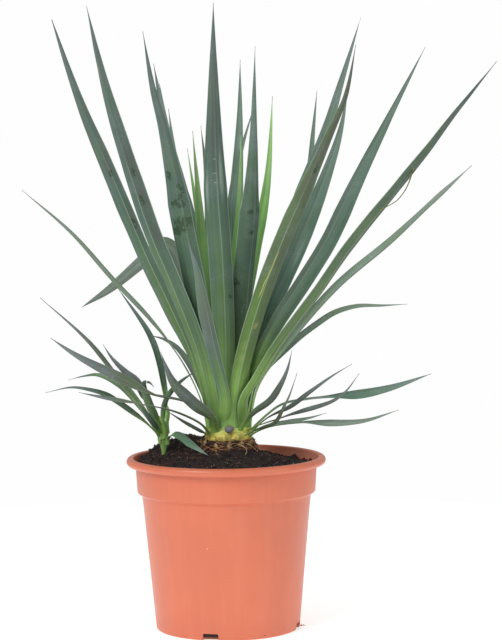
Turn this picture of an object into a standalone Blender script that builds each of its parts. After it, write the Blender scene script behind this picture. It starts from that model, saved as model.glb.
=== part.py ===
"""Yucca in a plastic nursery pot: one rosette of sword leaves, low leaves and a small offset.

The origin is the middle of the pot's underside. -Y is the front, +X the right and +Z up.
Sizes are in millimetres in the named values and become metres where meshes are made.
"""
import math
from collections import namedtuple

import bmesh
import bpy
from mathutils import Vector

MM = 0.001
SEAT_GAP = 0.3

# Pot
POT_SEGMENTS = 48
POT_HEIGHT = 181.8
RIM_RADIUS = 105.0
RIM_MOUTH_RADIUS = 97.4
RIM_UNDERSIDE = 173.4
COLLAR_TOP_RADIUS = 95.4
COLLAR_FOOT_RADIUS = 93.8
COLLAR_FOOT = 146.0
BODY_TOP_RADIUS = 88.9
BODY_TOP = 141.0
BASE_RADIUS = 76.0
BASE_CORNER = 2.4
STEP_ROUNDING = 1.4
RIM_FILLET = 1.6
MOUTH_ROUNDING = 2.0
WALL = 1.8
FLOOR = 2.6
INNER_CORNER = 3.0
NOTCH_BEARINGS = (-14, 76, 166, 256)
NOTCH_WIDTH = 20.0
NOTCH_TOP_WIDTH = 16.5
NOTCH_HEIGHT = 7.5
NOTCH_INNER_RADIUS = 66.0

# Soil: a level with mounds (x, y, rise, spread) and lumps (rise, x waves, y waves, phase)
SOIL_LEVEL = 172.5
SOIL_MOUNDS = (
    (5, -4, 18.0, 38),
    (-68, 46, 9.0, 24),
    (-34, 58, 14.0, 22),
    (-15, 78, 6.0, 38),
    (68, 34, -4.0, 30),
)
SOIL_LUMPS = (
    (0.9, 0.21, 0.07, 0.4),
    (0.8, -0.09, 0.24, 1.9),
    (0.7, 0.31, -0.22, 3.1),
    (0.5, 0.43, 0.37, 0.8),
)
SOIL_RINGS = (0.95, 0.88, 0.8, 0.71, 0.61, 0.5, 0.38, 0.25, 0.12)
SOIL_EDGE_GAP = 0.6
HOLE_TOOL_TOP = 230.0

# Crown: the short stem that the leaves grow from, as radius and height up its side
CROWN_X = 3.0
CROWN_Y = 5.0
CROWN_SEGMENTS = 24
CROWN_PROFILE = (
    (19.0, 150.0),
    (21.5, 153.0),
    (22.0, 190.0),
    (23.0, 202.0),
    (22.2, 211.0),
    (20.0, 218.0),
    (15.5, 228.0),
    (10.5, 238.0),
    (6.0, 247.0),
    (2.0, 252.0),
)
STUB_X = 3.6
STUB_RADIUS = 4.2
STUB_REACH = 31.0
STUB_HEIGHT = 212.6
STUB_SIDES = 12
STUB_ROOT = 10.0
STUB_BEVEL = 1.0

# Root collar: a ragged husk round the crown's foot, with surface roots
COLLAR_SEGMENTS = 30
COLLAR_FLOOR = 178.0
COLLAR_WAIST = 191.5
COLLAR_BULGE_FROM = 194.0
COLLAR_BULGE_TO = 197.5
COLLAR_RISE = 201.5
COLLAR_RAGGED_RISE = 2.2
COLLAR_LIP = 1.6
COLLAR_INNER_RADIUS = 23.6
COLLAR_BURIED_RADIUS = 27.0
COLLAR_WIDEST_RADIUS = 29.0
ROOT_SIDES = 6

# Each surface root: its thickness, and the bearing, reach from the crown's axis and height over
# the soil of the points that it passes
SURFACE_ROOTS = (
    (2.2, ((20, 26, 7), (24, 30, 6.5), (31, 34, 4.6), (30, 37, 3.0), (26, 40, 2.0))),
    (1.8, ((38, 26, 9), (44, 31, 8.5), (52, 33, 5.0), (58, 36, 2.4))),
    (1.4, ((-20, 26, 5), (-24, 32, 3.0), (-20, 38, 1.8), (-12, 44, 1.8))),
    (1.4, ((-52, 26, 4), (-58, 33, 2.4), (-55, 41, 1.8))),
    (1.6, ((150, 26, 5), (158, 33, 2.4), (150, 42, 2.0))),
    (1.4, ((-130, 26, 5), (-138, 34, 2.4), (-130, 44, 2.0))),
)

# Offset: the side shoot's stem
OFFSET_X = -66.0
OFFSET_Y = 14.0
OFFSET_SEGMENTS = 14
OFFSET_PROFILE = (
    (2.4, 160.0),
    (3.0, 163.0),
    (3.2, 187.0),
    (5.0, 198.0),
    (6.0, 207.0),
    (4.6, 214.0),
    (1.6, 219.0),
)

# Leaves: their widths are shares of each leaf's own, and the stretch where it is widest
NECK = 0.6
NECK_ENDS = 0.06
WIDEST_FROM = 0.36
WIDEST_TO = 0.56
TIP_WIDTH = 1.6
BLADE_THICKNESS = 1.1
THICKNESS_PER_WIDTH = 0.035
THINNING = 0.55
MARGIN_THICKNESS = 0.6
CHANNEL_AT_FOOT = 0.12
CHANNEL = 0.32
TURN_TAKES = 0.3
BROAD_LEAF = 13.0
BROAD_STATIONS = 12
NARROW_STATIONS = 10
SEAT_TRIES = 6

# A leaf's foot is at a bearing round its stem, 0 at the front and 90 at the right, and at a height.
# Its roll turns the blade about its middle line, from none at the foot. Its point is the form of
# its end: 1 narrows evenly, less draws out a long thin point, more keeps it broad. The turn is
# complete at the share of its length given as turned.
# Its route is the points that its middle line passes after the foot, ending at its tip.
Leaf = namedtuple("Leaf", "name bearing foot width roll point turned tint route")

MAIN_LEAVES = (
    Leaf("leaf_left_outer", -88, 217, 22, 40, 1.5, 0.3, "blue",
         ((-36, -10, 288), (-57, -14, 336), (-82, -15, 391), (-124, -18, 495), (-148, -20, 557),
          (-174, -20, 640))),
    Leaf("leaf_left_middle", -47, 217, 23.5, 22, 1.45, 0.3, "blue",
         ((-26, -24, 289), (-48, -34, 352), (-74, -44, 418), (-90, -52, 468), (-118, -62, 568),
          (-135, -70, 650))),
    Leaf("leaf_left_inner", -85, 227, 25, 20, 0.8, 0.3, "blue",
         ((-22, -16, 307), (-34, -34, 380), (-42, -46, 425), (-52, -66, 487), (-60, -77, 529),
          (-69, -84, 566), (-78, -88, 623))),
    Leaf("leaf_front_short", -14, 218.5, 14, 0, 1.0, 0.3, "grey",
         ((-1, -32, 245), (-11, -55, 292), (-19, -85, 334), (-27, -130, 385), (-35, -165, 417))),
    Leaf("leaf_front_tall", -28, 228, 24.5, 0, 1.0, 0.3, "blue",
         ((-1, -23, 280), (-2, -36, 344), (-4, -42, 398), (-8, -48, 471), (-8, -58, 589),
          (-7, -64, 652))),
    Leaf("leaf_front_dark", 30, 228, 22, 0, 0.62, 0.3, "dark",
         ((12, -13, 275), (18, -22, 338), (23, -34, 391), (27, -50, 430), (31, -78, 493),
          (34, -110, 606))),
    Leaf("leaf_right_olive", 22, 217, 23, -14, 0.75, 0.3, "olive",
         ((15, -30, 260), (31, -48, 324), (54, -66, 391), (82, -84, 457), (108, -98, 517),
          (122, -104, 549), (128, -107, 571), (134, -110, 606))),
    Leaf("leaf_right_teal", 84, 228, 24, 32, 1.2, 0.3, "teal",
         ((28, 9, 273), (51, 23, 335), (77, 34, 392), (105, 44, 458), (125, 52, 516),
          (135, 58, 562))),
    Leaf("leaf_right_middle", 94, 217, 21, 48, 1.0, 0.3, "teal",
         ((35, -8, 278), (56, -6, 320), (84, 0, 362), (113, 7, 408), (143, 13, 470),
          (188, 20, 558), (215, 22, 609))),
    Leaf("leaf_right_outer", 58, 217, 20, -24, 1.5, 0.2, "green",
         ((21, -24, 243), (34, -28, 265), (56, -34, 300), (98, -42, 356), (130, -48, 402),
          (200, -57, 488), (232, -60, 530), (280, -60, 590))),
    Leaf("leaf_right_low", 84, 208, 8.5, -80, 1.3, 0.35, "grey",
         ((34, 1, 252), (63, 7, 296), (118, 14, 358), (178, 22, 407), (226, 28, 450),
          (264, 32, 484))),
    Leaf("leaf_right_arched", 108, 209, 7, 65, 1.6, 0.4, "grey",
         ((34, 10, 258), (72, 16, 299), (99, 24, 319), (118, 30, 330), (142, 36, 336), (169, 40, 336),
          (196, 44, 337))),
    Leaf("leaf_left_low", -96, 209, 5.5, 75, 2.0, 0.5, "grey",
         ((-26, -4, 242), (-48, 6, 286), (-81, 16, 329), (-118, 24, 369), (-161, 32, 418),
          (-213, 36, 464))),
    Leaf("leaf_left_curled", -120, 210, 7, -65, 1.6, 0.5, "teal",
         ((-29, 25, 260), (-49, 38, 292), (-63, 42, 302), (-80, 46, 307))),
    Leaf("leaf_rear_bent", -135, 217, 18, -80, 3.0, 0.4, "grey",
         ((-26, 60, 311), (-42, 90, 363), (-53, 105, 394), (-66, 112, 401), (-84, 118, 386),
          (-126, 126, 352), (-158, 130, 332))),
    Leaf("leaf_rear_left_1", -120, 228, 14, -20, 1.8, 0.3, "blue",
         ((-23, 19, 304), (-48, 64, 460), (-58, 76, 510), (-66, 86, 556), (-73, 95, 598))),
    Leaf("leaf_rear_left_2", -145, 226, 13, -10, 1.8, 0.3, "blue",
         ((-19, 26, 303), (-42, 100, 450), (-57, 136, 510), (-64, 152, 545), (-69, 172, 579))),
    Leaf("leaf_rear_left_3", -164, 218, 12, 0, 1.8, 0.3, "blue",
         ((-17, 47, 303), (-38, 140, 440), (-51, 172, 484), (-60, 198, 551))),
    Leaf("leaf_young_1", 178, 231, 9, 0, 1.0, 0.3, "young",
         ((-10, 30, 302), (-27, 112, 427), (-35, 152, 480), (-39, 175, 506))),
    Leaf("leaf_young_2", -112, 238, 12, 0, 1.0, 0.3, "young",
         ((-10, 13, 303), (-20, 44, 375), (-26, 82, 449), (-32, 112, 525))),
    Leaf("leaf_young_3", -157, 240, 9, 0, 1.5, 0.3, "olive",
         ((-4, 20, 303), (-14, 64, 396), (-18, 100, 480), (-23, 122, 531))),
    Leaf("leaf_young_4", 142, 236, 13, 0, 1.0, 0.3, "young",
         ((17, 22, 303), (35, 75, 396), (46, 104, 449), (52, 138, 492), (57, 170, 563))),
    Leaf("leaf_heart_1", 170, 247, 16, 0, 1.0, 0.3, "teal",
         ((4, 14, 303), (12, 50, 418), (19, 86, 525), (21, 112, 602))),
    Leaf("leaf_heart_2", 4, 241, 9, -88, 1.0, 0.3, "young",
         ((8, -9, 300), (11, -10, 345), (14, -7, 410), (17, -4, 451), (19, 0, 488), (20, 6, 522))),
    Leaf("leaf_heart_3", 70, 247, 18, 0, 0.8, 0.3, "teal",
         ((9, 3, 304), (10, 12, 398), (11, 17, 451), (15, 24, 480), (23, 34, 512),
          (35, 46, 551))),
    Leaf("leaf_rear_right_1", 148, 217, 12, 0, 1.6, 0.3, "teal",
         ((26, 50, 302), (76, 122, 416), (97, 160, 478), (102, 178, 519), (108, 201, 569))),
    Leaf("leaf_rear_right_2", 131, 226, 21, 28, 1.0, 0.3, "blue",
         ((25, 29, 298), (73, 63, 418), (111, 82, 516), (134, 92, 588), (152, 98, 645))),
    Leaf("leaf_rear_1", 180, 211, 18, 0, 1.0, 0.3, "teal",
         ((6, 64, 290), (6, 130, 345), (2, 200, 385), (0, 250, 400))),
    Leaf("leaf_rear_2", -150, 213, 15, 0, 1.0, 0.3, "blue",
         ((-8, 60, 270), (-22, 128, 315), (-34, 195, 353), (-40, 240, 367))),
    Leaf("leaf_rear_3", 152, 213, 16, 0, 1.0, 0.3, "teal",
         ((22, 60, 270), (44, 125, 316), (62, 190, 355), (72, 240, 372))),
)

LOW_LEAVES = (
    Leaf("low_leaf_left_1", -38, 208, 12.5, 65, 1.0, 0.4, "dark",
         ((-14, -28, 224), (-34, -37, 243), (-53, -44, 264), (-61, -48, 282), (-66, -50, 297))),
    Leaf("low_leaf_left_2", -74, 210, 12, 80, 1.4, 0.65, "grey",
         ((-23, -13, 233), (-46, -20, 243), (-78, -26, 251), (-106, -31, 267), (-153, -36, 293),
          (-180, -38, 312))),
    Leaf("low_leaf_left_3", -62, 205, 8, 75, 1.4, 0.85, "dark",
         ((-23, -19, 215), (-32, -28, 223), (-59, -42, 236), (-91, -52, 244), (-130, -62, 253),
          (-150, -66, 258))),
    Leaf("low_leaf_left_4", -80, 203, 4, 60, 1.0, 0.4, "dark",
         ((-25, -20, 210), (-42, -28, 221), (-53, -34, 229), (-63, -38, 236))),
    Leaf("low_leaf_right_1", 32, 209, 7, -55, 1.0, 0.4, "dark",
         ((29, -30, 230), (47, -40, 245), (57, -47, 261), (64, -53, 277), (69, -60, 298))),
    Leaf("low_leaf_right_2", 44, 203, 4, -50, 1.0, 0.4, "dark",
         ((38, -40, 216), (51, -60, 224), (60, -80, 243), (65, -86, 254), (73, -94, 278))),
    Leaf("low_leaf_right_3", 76, 203, 5, -85, 1.0, 0.5, "dark",
         ((42, -16, 222), (67, -20, 235), (87, -22, 250), (112, -26, 268), (132, -28, 280))),
    Leaf("low_leaf_right_4", 56, 208, 5, -88, 1.2, 0.6, "dark",
         ((60, -34, 226), (80, -40, 233), (111, -48, 244), (124, -52, 254), (138, -56, 273))),
    Leaf("low_leaf_right_5", 92, 205, 11, 82, 1.4, 0.7, "teal",
         ((57, 8, 233), (85, 12, 239), (114, 16, 241), (140, 18, 243), (176, 20, 250),
          (219, 22, 264))),
    Leaf("low_leaf_right_6", 114, 202, 5, 80, 1.0, 0.5, "grey",
         ((38, 14, 210), (68, 12, 216), (89, 10, 220), (107, 10, 225))),
    Leaf("low_leaf_right_7", 62, 201, 7.5, 85, 1.2, 0.65, "grey",
         ((42, -18, 213), (77, -26, 219), (108, -32, 219), (145, -38, 222), (179, -42, 233))),
    Leaf("low_leaf_rear_1", 172, 206, 6, 0, 1.0, 0.3, "dark",
         ((8, 60, 232), (14, 100, 236), (10, 140, 226))),
    Leaf("low_leaf_rear_2", -168, 203, 6, 0, 1.0, 0.3, "dark",
         ((-4, 55, 222), (-14, 90, 228), (-24, 125, 224))),
)

OFFSET_LEAVES = (
    Leaf("offset_leaf_1", -100, 204, 5, 70, 1.0, 0.4, "dark",
         ((-85, 4, 226), (-104, 0, 253), (-135, -10, 297), (-152, -14, 316), (-191, -24, 353))),
    Leaf("offset_leaf_2", -140, 206, 5, -60, 1.0, 0.3, "green",
         ((-79, 20, 219), (-92, 27, 237), (-105, 35, 253), (-127, 46, 276), (-142, 52, 298))),
    Leaf("offset_leaf_3", 165, 211, 9, -60, 1.0, 0.4, "grey",
         ((-77, 30, 225), (-94, 36, 257), (-107, 38, 269), (-121, 40, 284), (-130, 42, 298))),
    Leaf("offset_leaf_4", -150, 200, 7, -60, 1.0, 0.4, "green",
         ((-75, 26, 208), (-88, 38, 227), (-101, 48, 242), (-115, 56, 254), (-137, 66, 263),
          (-154, 75, 261), (-171, 84, 256))),
    Leaf("offset_leaf_5", -60, 202, 6, 70, 1.0, 0.4, "dark",
         ((-80, -6, 215), (-95, -20, 230), (-111, -34, 244), (-125, -46, 254), (-141, -56, 260),
          (-158, -64, 263), (-183, -74, 259))),
    Leaf("offset_leaf_6", -30, 206, 6, 45, 1.0, 0.3, "dark",
         ((-75, -12, 218), (-94, -30, 247))),
    Leaf("offset_leaf_7", -38, 211, 9, 10, 1.4, 0.3, "green",
         ((-74, -3, 224), (-80, -11, 239), (-85, -18, 257), (-84, -21, 263), (-79, -22, 263),
          (-74, -24, 258))),
    Leaf("offset_leaf_8", 14, 207, 6, -30, 1.2, 0.6, "green",
         ((-66, 1, 222), (-65, -4, 233), (-62, -9, 243), (-55, -14, 254), (-44, -22, 265),
          (-26, -30, 277))),
    Leaf("offset_leaf_9", 116, 212, 7, -55, 1.2, 0.25, "dark",
         ((-63, 20, 241), (-69, 22, 278), (-79, 26, 308), (-113, 34, 359))),
    Leaf("offset_leaf_10", 62, 200, 8, 60, 1.2, 0.3, "teal",
         ((-55, 2, 205), (-47, -8, 204), (-38, -18, 198), (-29, -27, 193), (-18, -35, 187))),
)

TINTS = {
    "blue": (0.105, 0.20, 0.155),
    "grey": (0.16, 0.21, 0.19),
    "dark": (0.045, 0.085, 0.065),
    "olive": (0.15, 0.20, 0.085),
    "teal": (0.07, 0.17, 0.125),
    "green": (0.10, 0.22, 0.085),
    "young": (0.17, 0.36, 0.10),
}


def clear_scene():
    """Remove every object that the file holds."""
    for thing in list(bpy.data.objects):
        bpy.data.objects.remove(thing, do_unlink=True)


def material(name, colour, roughness, metallic=0.0):
    """A plain material of one colour."""
    made = bpy.data.materials.new(name)
    made.use_nodes = True
    made.diffuse_color = (*colour, 1.0)
    shader = made.node_tree.nodes["Principled BSDF"]
    shader.inputs["Base Color"].default_value = (*colour, 1.0)
    shader.inputs["Roughness"].default_value = roughness
    shader.inputs["Metallic"].default_value = metallic
    return made


def add_object(name, mesh, finish):
    """Link a mesh to the scene as one named object with one material."""
    thing = bpy.data.objects.new(name, mesh)
    bpy.context.scene.collection.objects.link(thing)
    mesh.materials.clear()
    mesh.materials.append(finish)
    return thing


def mesh_from_rings(name, rings, ends=True):
    """A closed mesh through rings of points in millimetres, each ring running anticlockwise
    seen from the end of the row."""
    form = bmesh.new()
    rows = [[form.verts.new(Vector(point) * MM) for point in ring] for ring in rings]
    count = len(rings[0])
    for lower, upper in zip(rows, rows[1:]):
        for i in range(count):
            j = (i + 1) % count
            form.faces.new((lower[i], lower[j], upper[j], upper[i]))
    if ends:
        form.faces.new(list(reversed(rows[0])))
        form.faces.new(rows[-1])
    bmesh.ops.recalc_face_normals(form, faces=form.faces)
    mesh = bpy.data.meshes.new(name)
    form.to_mesh(mesh)
    form.free()
    return mesh


def shade(mesh):
    """Smooth shading with edges kept at the sharp turns."""
    mesh.shade_smooth()
    mesh.set_sharp_from_angle(angle=math.radians(40))


def circle(radius, height, count, x=0.0, y=0.0):
    """Points round a level circle."""
    turns = [2 * math.pi * i / count for i in range(count)]
    return [(x + radius * math.cos(t), y + radius * math.sin(t), height) for t in turns]


def arc(centre, radius, start, end, steps):
    """Points of an arc in the profile's plane, with angles in degrees."""
    points = []
    for i in range(steps + 1):
        t = math.radians(start + (end - start) * i / steps)
        points.append((centre[0] + radius * math.cos(t), centre[1] + radius * math.sin(t)))
    return points


def boolean(target, tool, operation):
    """Apply a Boolean modifier and remove its tool."""
    step = target.modifiers.new("cut", "BOOLEAN")
    step.operation = operation
    step.solver = "EXACT"
    step.object = tool
    bpy.context.view_layer.update()
    evaluated = target.evaluated_get(bpy.context.evaluated_depsgraph_get())
    result = bpy.data.meshes.new_from_object(evaluated)
    target.modifiers.clear()
    target.data = result
    bpy.data.objects.remove(tool, do_unlink=True)


def cutter(name, mesh):
    """A tool object, hidden from renders."""
    tool = bpy.data.objects.new(name, mesh)
    bpy.context.scene.collection.objects.link(tool)
    tool.hide_render = True
    tool.display_type = "WIRE"
    return tool


def profile_radius(profile, height):
    """The radius of a turned profile at a height."""
    for (r0, z0), (r1, z1) in zip(profile, profile[1:]):
        if z0 <= height <= z1:
            return r0 + (r1 - r0) * (height - z0) / (z1 - z0)
    return profile[0][0] if height < profile[0][1] else 0.0


# Pot

def pot_inside():
    """The pot's inner wall from the floor up to the mouth, as radius and height."""
    return [
        (BASE_RADIUS - WALL - INNER_CORNER, FLOOR),
        (BASE_RADIUS - WALL, FLOOR + INNER_CORNER),
        (BODY_TOP_RADIUS - WALL, BODY_TOP + WALL),
        (COLLAR_FOOT_RADIUS - WALL, COLLAR_FOOT + WALL),
        (COLLAR_TOP_RADIUS - WALL, RIM_UNDERSIDE - INNER_CORNER),
    ]


def pot_profile():
    """The whole section of the pot's wall, from the underside up and over the rim to the floor."""
    roll = (POT_HEIGHT - RIM_UNDERSIDE) / 2
    middle = RIM_UNDERSIDE + roll
    points = [(BASE_RADIUS - BASE_CORNER, 0.0)]
    points += arc((BASE_RADIUS - BASE_CORNER, BASE_CORNER), BASE_CORNER, -50, 0, 2)
    points += [
        (BODY_TOP_RADIUS, BODY_TOP),
        (COLLAR_FOOT_RADIUS - STEP_ROUNDING, COLLAR_FOOT - STEP_ROUNDING),
        (COLLAR_FOOT_RADIUS, COLLAR_FOOT),
        (COLLAR_TOP_RADIUS, RIM_UNDERSIDE - RIM_FILLET),
        (COLLAR_TOP_RADIUS + RIM_FILLET, RIM_UNDERSIDE),
    ]
    points += arc((RIM_RADIUS - roll, middle), roll, -70, 90, 5)
    mouth = (RIM_MOUTH_RADIUS + MOUTH_ROUNDING, POT_HEIGHT - MOUTH_ROUNDING)
    points += arc(mouth, MOUTH_ROUNDING, 90, 180, 2)
    points += list(reversed(pot_inside()))
    return points


def turned(name, profile, count, x=0.0, y=0.0):
    """A closed body turned round a vertical axis, from a profile that starts and ends at a flat."""
    return mesh_from_rings(name, [circle(r, z, count, x, y) for r, z in profile])


def notch_tool(bearing):
    """A wedge that cuts one drainage notch through the foot of the wall."""
    outer = BASE_RADIUS + NOTCH_HEIGHT
    low = -NOTCH_HEIGHT
    half_low = NOTCH_WIDTH / 2
    half_top = NOTCH_TOP_WIDTH / 2
    turn = math.radians(bearing)
    rings = []
    for reach in (NOTCH_INNER_RADIUS, outer):
        ring = []
        for side, height in ((-half_low, low), (half_low, low), (half_top, NOTCH_HEIGHT),
                             (-half_top, NOTCH_HEIGHT)):
            x = reach * math.sin(turn) + side * math.cos(turn)
            y = -reach * math.cos(turn) + side * math.sin(turn)
            ring.append((x, y, height))
        rings.append(ring)
    return cutter("notch_tool", mesh_from_rings("notch_tool", rings))


def build_pot():
    """The pot, with four drainage notches."""
    finish = material("pot_plastic", (0.72, 0.22, 0.125), 0.42)
    pot = add_object("pot", turned("pot", pot_profile(), POT_SEGMENTS), finish)
    for bearing in NOTCH_BEARINGS:
        boolean(pot, notch_tool(bearing), "DIFFERENCE")
    shade(pot.data)


# Soil

def soil_height(x, y):
    """The height of the soil's top at a place, in millimetres."""
    height = SOIL_LEVEL
    for mound_x, mound_y, rise, spread in SOIL_MOUNDS:
        away = (x - mound_x) ** 2 + (y - mound_y) ** 2
        height += rise * math.exp(-away / (2 * spread ** 2))
    for rise, waves_x, waves_y, phase in SOIL_LUMPS:
        height += rise * math.sin(waves_x * x + waves_y * y + phase)
    return height


def build_soil():
    """The soil that fills the pot, with a lumpy top and a plain hole for each stem."""
    rings = []
    for number, (radius, height) in enumerate(pot_inside()[:-1]):
        lift = SEAT_GAP if number == 0 else 0.0
        rings.append(circle(radius - SEAT_GAP, height + lift, POT_SEGMENTS))
    edge = COLLAR_TOP_RADIUS - WALL - SOIL_EDGE_GAP
    for share in (1.0,) + SOIL_RINGS:
        rings.append([(x, y, soil_height(x, y)) for x, y, _ in circle(edge * share, 0.0, POT_SEGMENTS)])
    finish = material("peat", (0.022, 0.014, 0.010), 0.95)
    soil = add_object("soil", mesh_from_rings("soil", rings), finish)
    holes = (
        (CROWN_X, CROWN_Y, COLLAR_BURIED_RADIUS + SEAT_GAP, COLLAR_FLOOR - SEAT_GAP, COLLAR_SEGMENTS),
        (CROWN_X, CROWN_Y, CROWN_PROFILE[2][0] + SEAT_GAP, CROWN_PROFILE[0][1] - SEAT_GAP,
         CROWN_SEGMENTS),
        (OFFSET_X, OFFSET_Y, OFFSET_PROFILE[2][0] + SEAT_GAP, OFFSET_PROFILE[0][1] - SEAT_GAP,
         OFFSET_SEGMENTS),
    )
    for x, y, radius, depth, count in holes:
        wide = radius / math.cos(math.pi / count)
        tool = turned("hole_tool", ((wide, depth), (wide, HOLE_TOOL_TOP)), count, x, y)
        boolean(soil, cutter("hole_tool", tool), "DIFFERENCE")
    shade(soil.data)


# Crown, root collar and offset stem

def build_crown():
    """The short stem, with the cut stub at its front."""
    finish = material("crown_flesh", (0.33, 0.34, 0.05), 0.6)
    crown = add_object("crown", turned("crown", CROWN_PROFILE, CROWN_SEGMENTS, CROWN_X, CROWN_Y), finish)
    rings = []
    for reach, radius in ((STUB_ROOT, STUB_RADIUS), (STUB_REACH - STUB_BEVEL, STUB_RADIUS),
                          (STUB_REACH, STUB_RADIUS - STUB_BEVEL)):
        outline = circle(radius, 0.0, STUB_SIDES, STUB_X, STUB_HEIGHT)
        rings.append([(x, CROWN_Y - reach, z) for x, z, _ in outline])
    stub = cutter("stub_tool", mesh_from_rings("stub_tool", rings))
    boolean(crown, stub, "UNION")
    shade(crown.data)


def collar_ring(radius_rule, height_rule):
    """One row of the root collar, from rules on the turn in radians."""
    ring = []
    for i in range(COLLAR_SEGMENTS):
        turn = 2 * math.pi * i / COLLAR_SEGMENTS
        radius = radius_rule(turn)
        ring.append((CROWN_X + radius * math.cos(turn), CROWN_Y + radius * math.sin(turn),
                     height_rule(turn)))
    return ring


def ragged(turn):
    """A ragged wave round the collar, within about one."""
    return 0.5 * math.sin(5 * turn + 0.6) + 0.3 * math.sin(9 * turn + 2.0) + 0.2 * math.sin(13 * turn)


def build_root_collar():
    """The brown husk round the crown's foot, with surface roots fused to it."""
    buried = COLLAR_BURIED_RADIUS
    widest = COLLAR_WIDEST_RADIUS
    inner = COLLAR_INNER_RADIUS
    rings = [
        collar_ring(lambda t: inner, lambda t: COLLAR_FLOOR),
        collar_ring(lambda t: buried, lambda t: COLLAR_FLOOR),
        collar_ring(lambda t: buried, lambda t: COLLAR_WAIST),
        collar_ring(lambda t: widest + ragged(t), lambda t: COLLAR_BULGE_FROM),
        collar_ring(lambda t: widest + ragged(t + 1), lambda t: COLLAR_BULGE_TO),
        collar_ring(lambda t: inner + COLLAR_LIP + 0.5 * ragged(t + 2),
                    lambda t: COLLAR_RISE + COLLAR_RAGGED_RISE * ragged(t)),
        collar_ring(lambda t: inner,
                    lambda t: COLLAR_RISE + COLLAR_RAGGED_RISE * ragged(t) - COLLAR_LIP / 2),
    ]
    form = mesh_from_rings("root_collar", rings + [rings[0]], ends=False)
    welded = bmesh.new()
    welded.from_mesh(form)
    bmesh.ops.remove_doubles(welded, verts=welded.verts, dist=0.00001)
    bmesh.ops.recalc_face_normals(welded, faces=welded.faces)
    welded.to_mesh(form)
    welded.free()
    finish = material("root_husk", (0.30, 0.17, 0.075), 0.85)
    collar = add_object("root_collar", form, finish)
    for thick, route in SURFACE_ROOTS:
        tool = cutter("root_tool", root_mesh(thick, route))
        boolean(collar, tool, "UNION")
    shade(collar.data)


def root_mesh(thick, route):
    """A thin tapering root that leaves the collar and lies over the soil."""
    points = []
    for bearing, reach, over in route:
        turn = math.radians(bearing)
        x = CROWN_X + reach * math.sin(turn)
        y = CROWN_Y - reach * math.cos(turn)
        points.append(Vector((x, y, soil_height(x, y) + over)))
    stations = smooth_route(points, 3 * (len(points) - 1))
    rings = []
    for i, (place, along) in enumerate(stations):
        radius = thick / 2 * (1 - 0.5 * i / (len(stations) - 1))
        side = along.cross(Vector((0, 0, 1))).normalized()
        over = side.cross(along).normalized()
        ring = []
        for k in range(ROOT_SIDES):
            turn = 2 * math.pi * k / ROOT_SIDES
            ring.append(place + side * (radius * math.cos(turn)) + over * (radius * math.sin(turn)))
        rings.append(ring)
    return mesh_from_rings("root", rings)


def build_offset_stem():
    """The side shoot's stem."""
    finish = material("offset_flesh", (0.12, 0.19, 0.06), 0.6)
    mesh = turned("offset_stem", OFFSET_PROFILE, OFFSET_SEGMENTS, OFFSET_X, OFFSET_Y)
    shade(mesh)
    add_object("offset_stem", mesh, finish)


# Leaves

def smooth_route(points, steps):
    """Places and directions at even steps along a smooth curve through points."""
    knots = [0.0]
    for a, b in zip(points, points[1:]):
        knots.append(knots[-1] + (b - a).length ** 0.5)
    slopes = []
    last = len(points) - 1
    for i in range(last + 1):
        low = max(i - 1, 0)
        high = min(i + 1, last)
        if low == i or high == i:
            slopes.append((points[high] - points[low]) / (knots[high] - knots[low]))
            continue
        before = (points[i] - points[low]) / (knots[i] - knots[low])
        after = (points[high] - points[i]) / (knots[high] - knots[i])
        share = (knots[i] - knots[low]) / (knots[high] - knots[low])
        slopes.append(before * (1 - share) + after * share)

    def place_at(t):
        i = 0
        while i < last - 1 and t > knots[i + 1]:
            i += 1
        span = knots[i + 1] - knots[i]
        u = (t - knots[i]) / span
        a = points[i] * (2 * u ** 3 - 3 * u ** 2 + 1)
        b = slopes[i] * (span * (u ** 3 - 2 * u ** 2 + u))
        c = points[i + 1] * (3 * u ** 2 - 2 * u ** 3)
        d = slopes[i + 1] * (span * (u ** 3 - u ** 2))
        return a + b + c + d

    fine = 40 * last
    places = [place_at(knots[-1] * k / fine) for k in range(fine + 1)]
    runs = [0.0]
    for a, b in zip(places, places[1:]):
        runs.append(runs[-1] + (b - a).length)
    stations = []
    k = 0
    for step in range(steps + 1):
        goal = runs[-1] * step / steps
        while k < fine - 1 and runs[k + 1] < goal:
            k += 1
        share = (goal - runs[k]) / (runs[k + 1] - runs[k])
        place = places[k].lerp(places[k + 1], min(max(share, 0.0), 1.0))
        before = places[max(k - 4, 0)]
        after = places[min(k + 5, fine)]
        stations.append((place, (after - before).normalized()))
    return stations


def ease(value):
    """A smooth step from 0 to 1."""
    value = min(max(value, 0.0), 1.0)
    return value * value * (3 - 2 * value)


def blade_width(share, leaf):
    """The blade's full width at a share of its length."""
    opening = ease((share - NECK_ENDS) / (WIDEST_FROM - NECK_ENDS))
    width = leaf.width * (NECK + (1 - NECK) * opening)
    if share > WIDEST_TO:
        left = (1 - share) / (1 - WIDEST_TO)
        width *= 1 - (1 - left) ** leaf.point
    return max(width, TIP_WIDTH)


def blade_section(half, thick, depth, broad):
    """The blade's section as (across, over) pairs: a shallow channel with blunt margins."""
    edge = max(thick / 2, MARGIN_THICKNESS)
    if broad:
        shares = (-1.0, -0.55, 0.0, 0.55, 1.0)
    else:
        shares = (-1.0, 0.0, 1.0)
    upper = []
    lower = []
    for share in shares:
        rise = depth * abs(share) ** 1.5
        body = edge + (thick - edge) * (1 - abs(share))
        upper.append((half * share, rise + body / 2))
        lower.append((half * share, rise - body / 2))
    return upper + list(reversed(lower))


def stem_clearance(point, stem):
    """How far a point is outside a stem, in millimetres."""
    axis_x, axis_y, profile = stem
    reach = math.hypot(point[0] - axis_x, point[1] - axis_y)
    return reach - profile_radius(profile, point[2])


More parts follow.
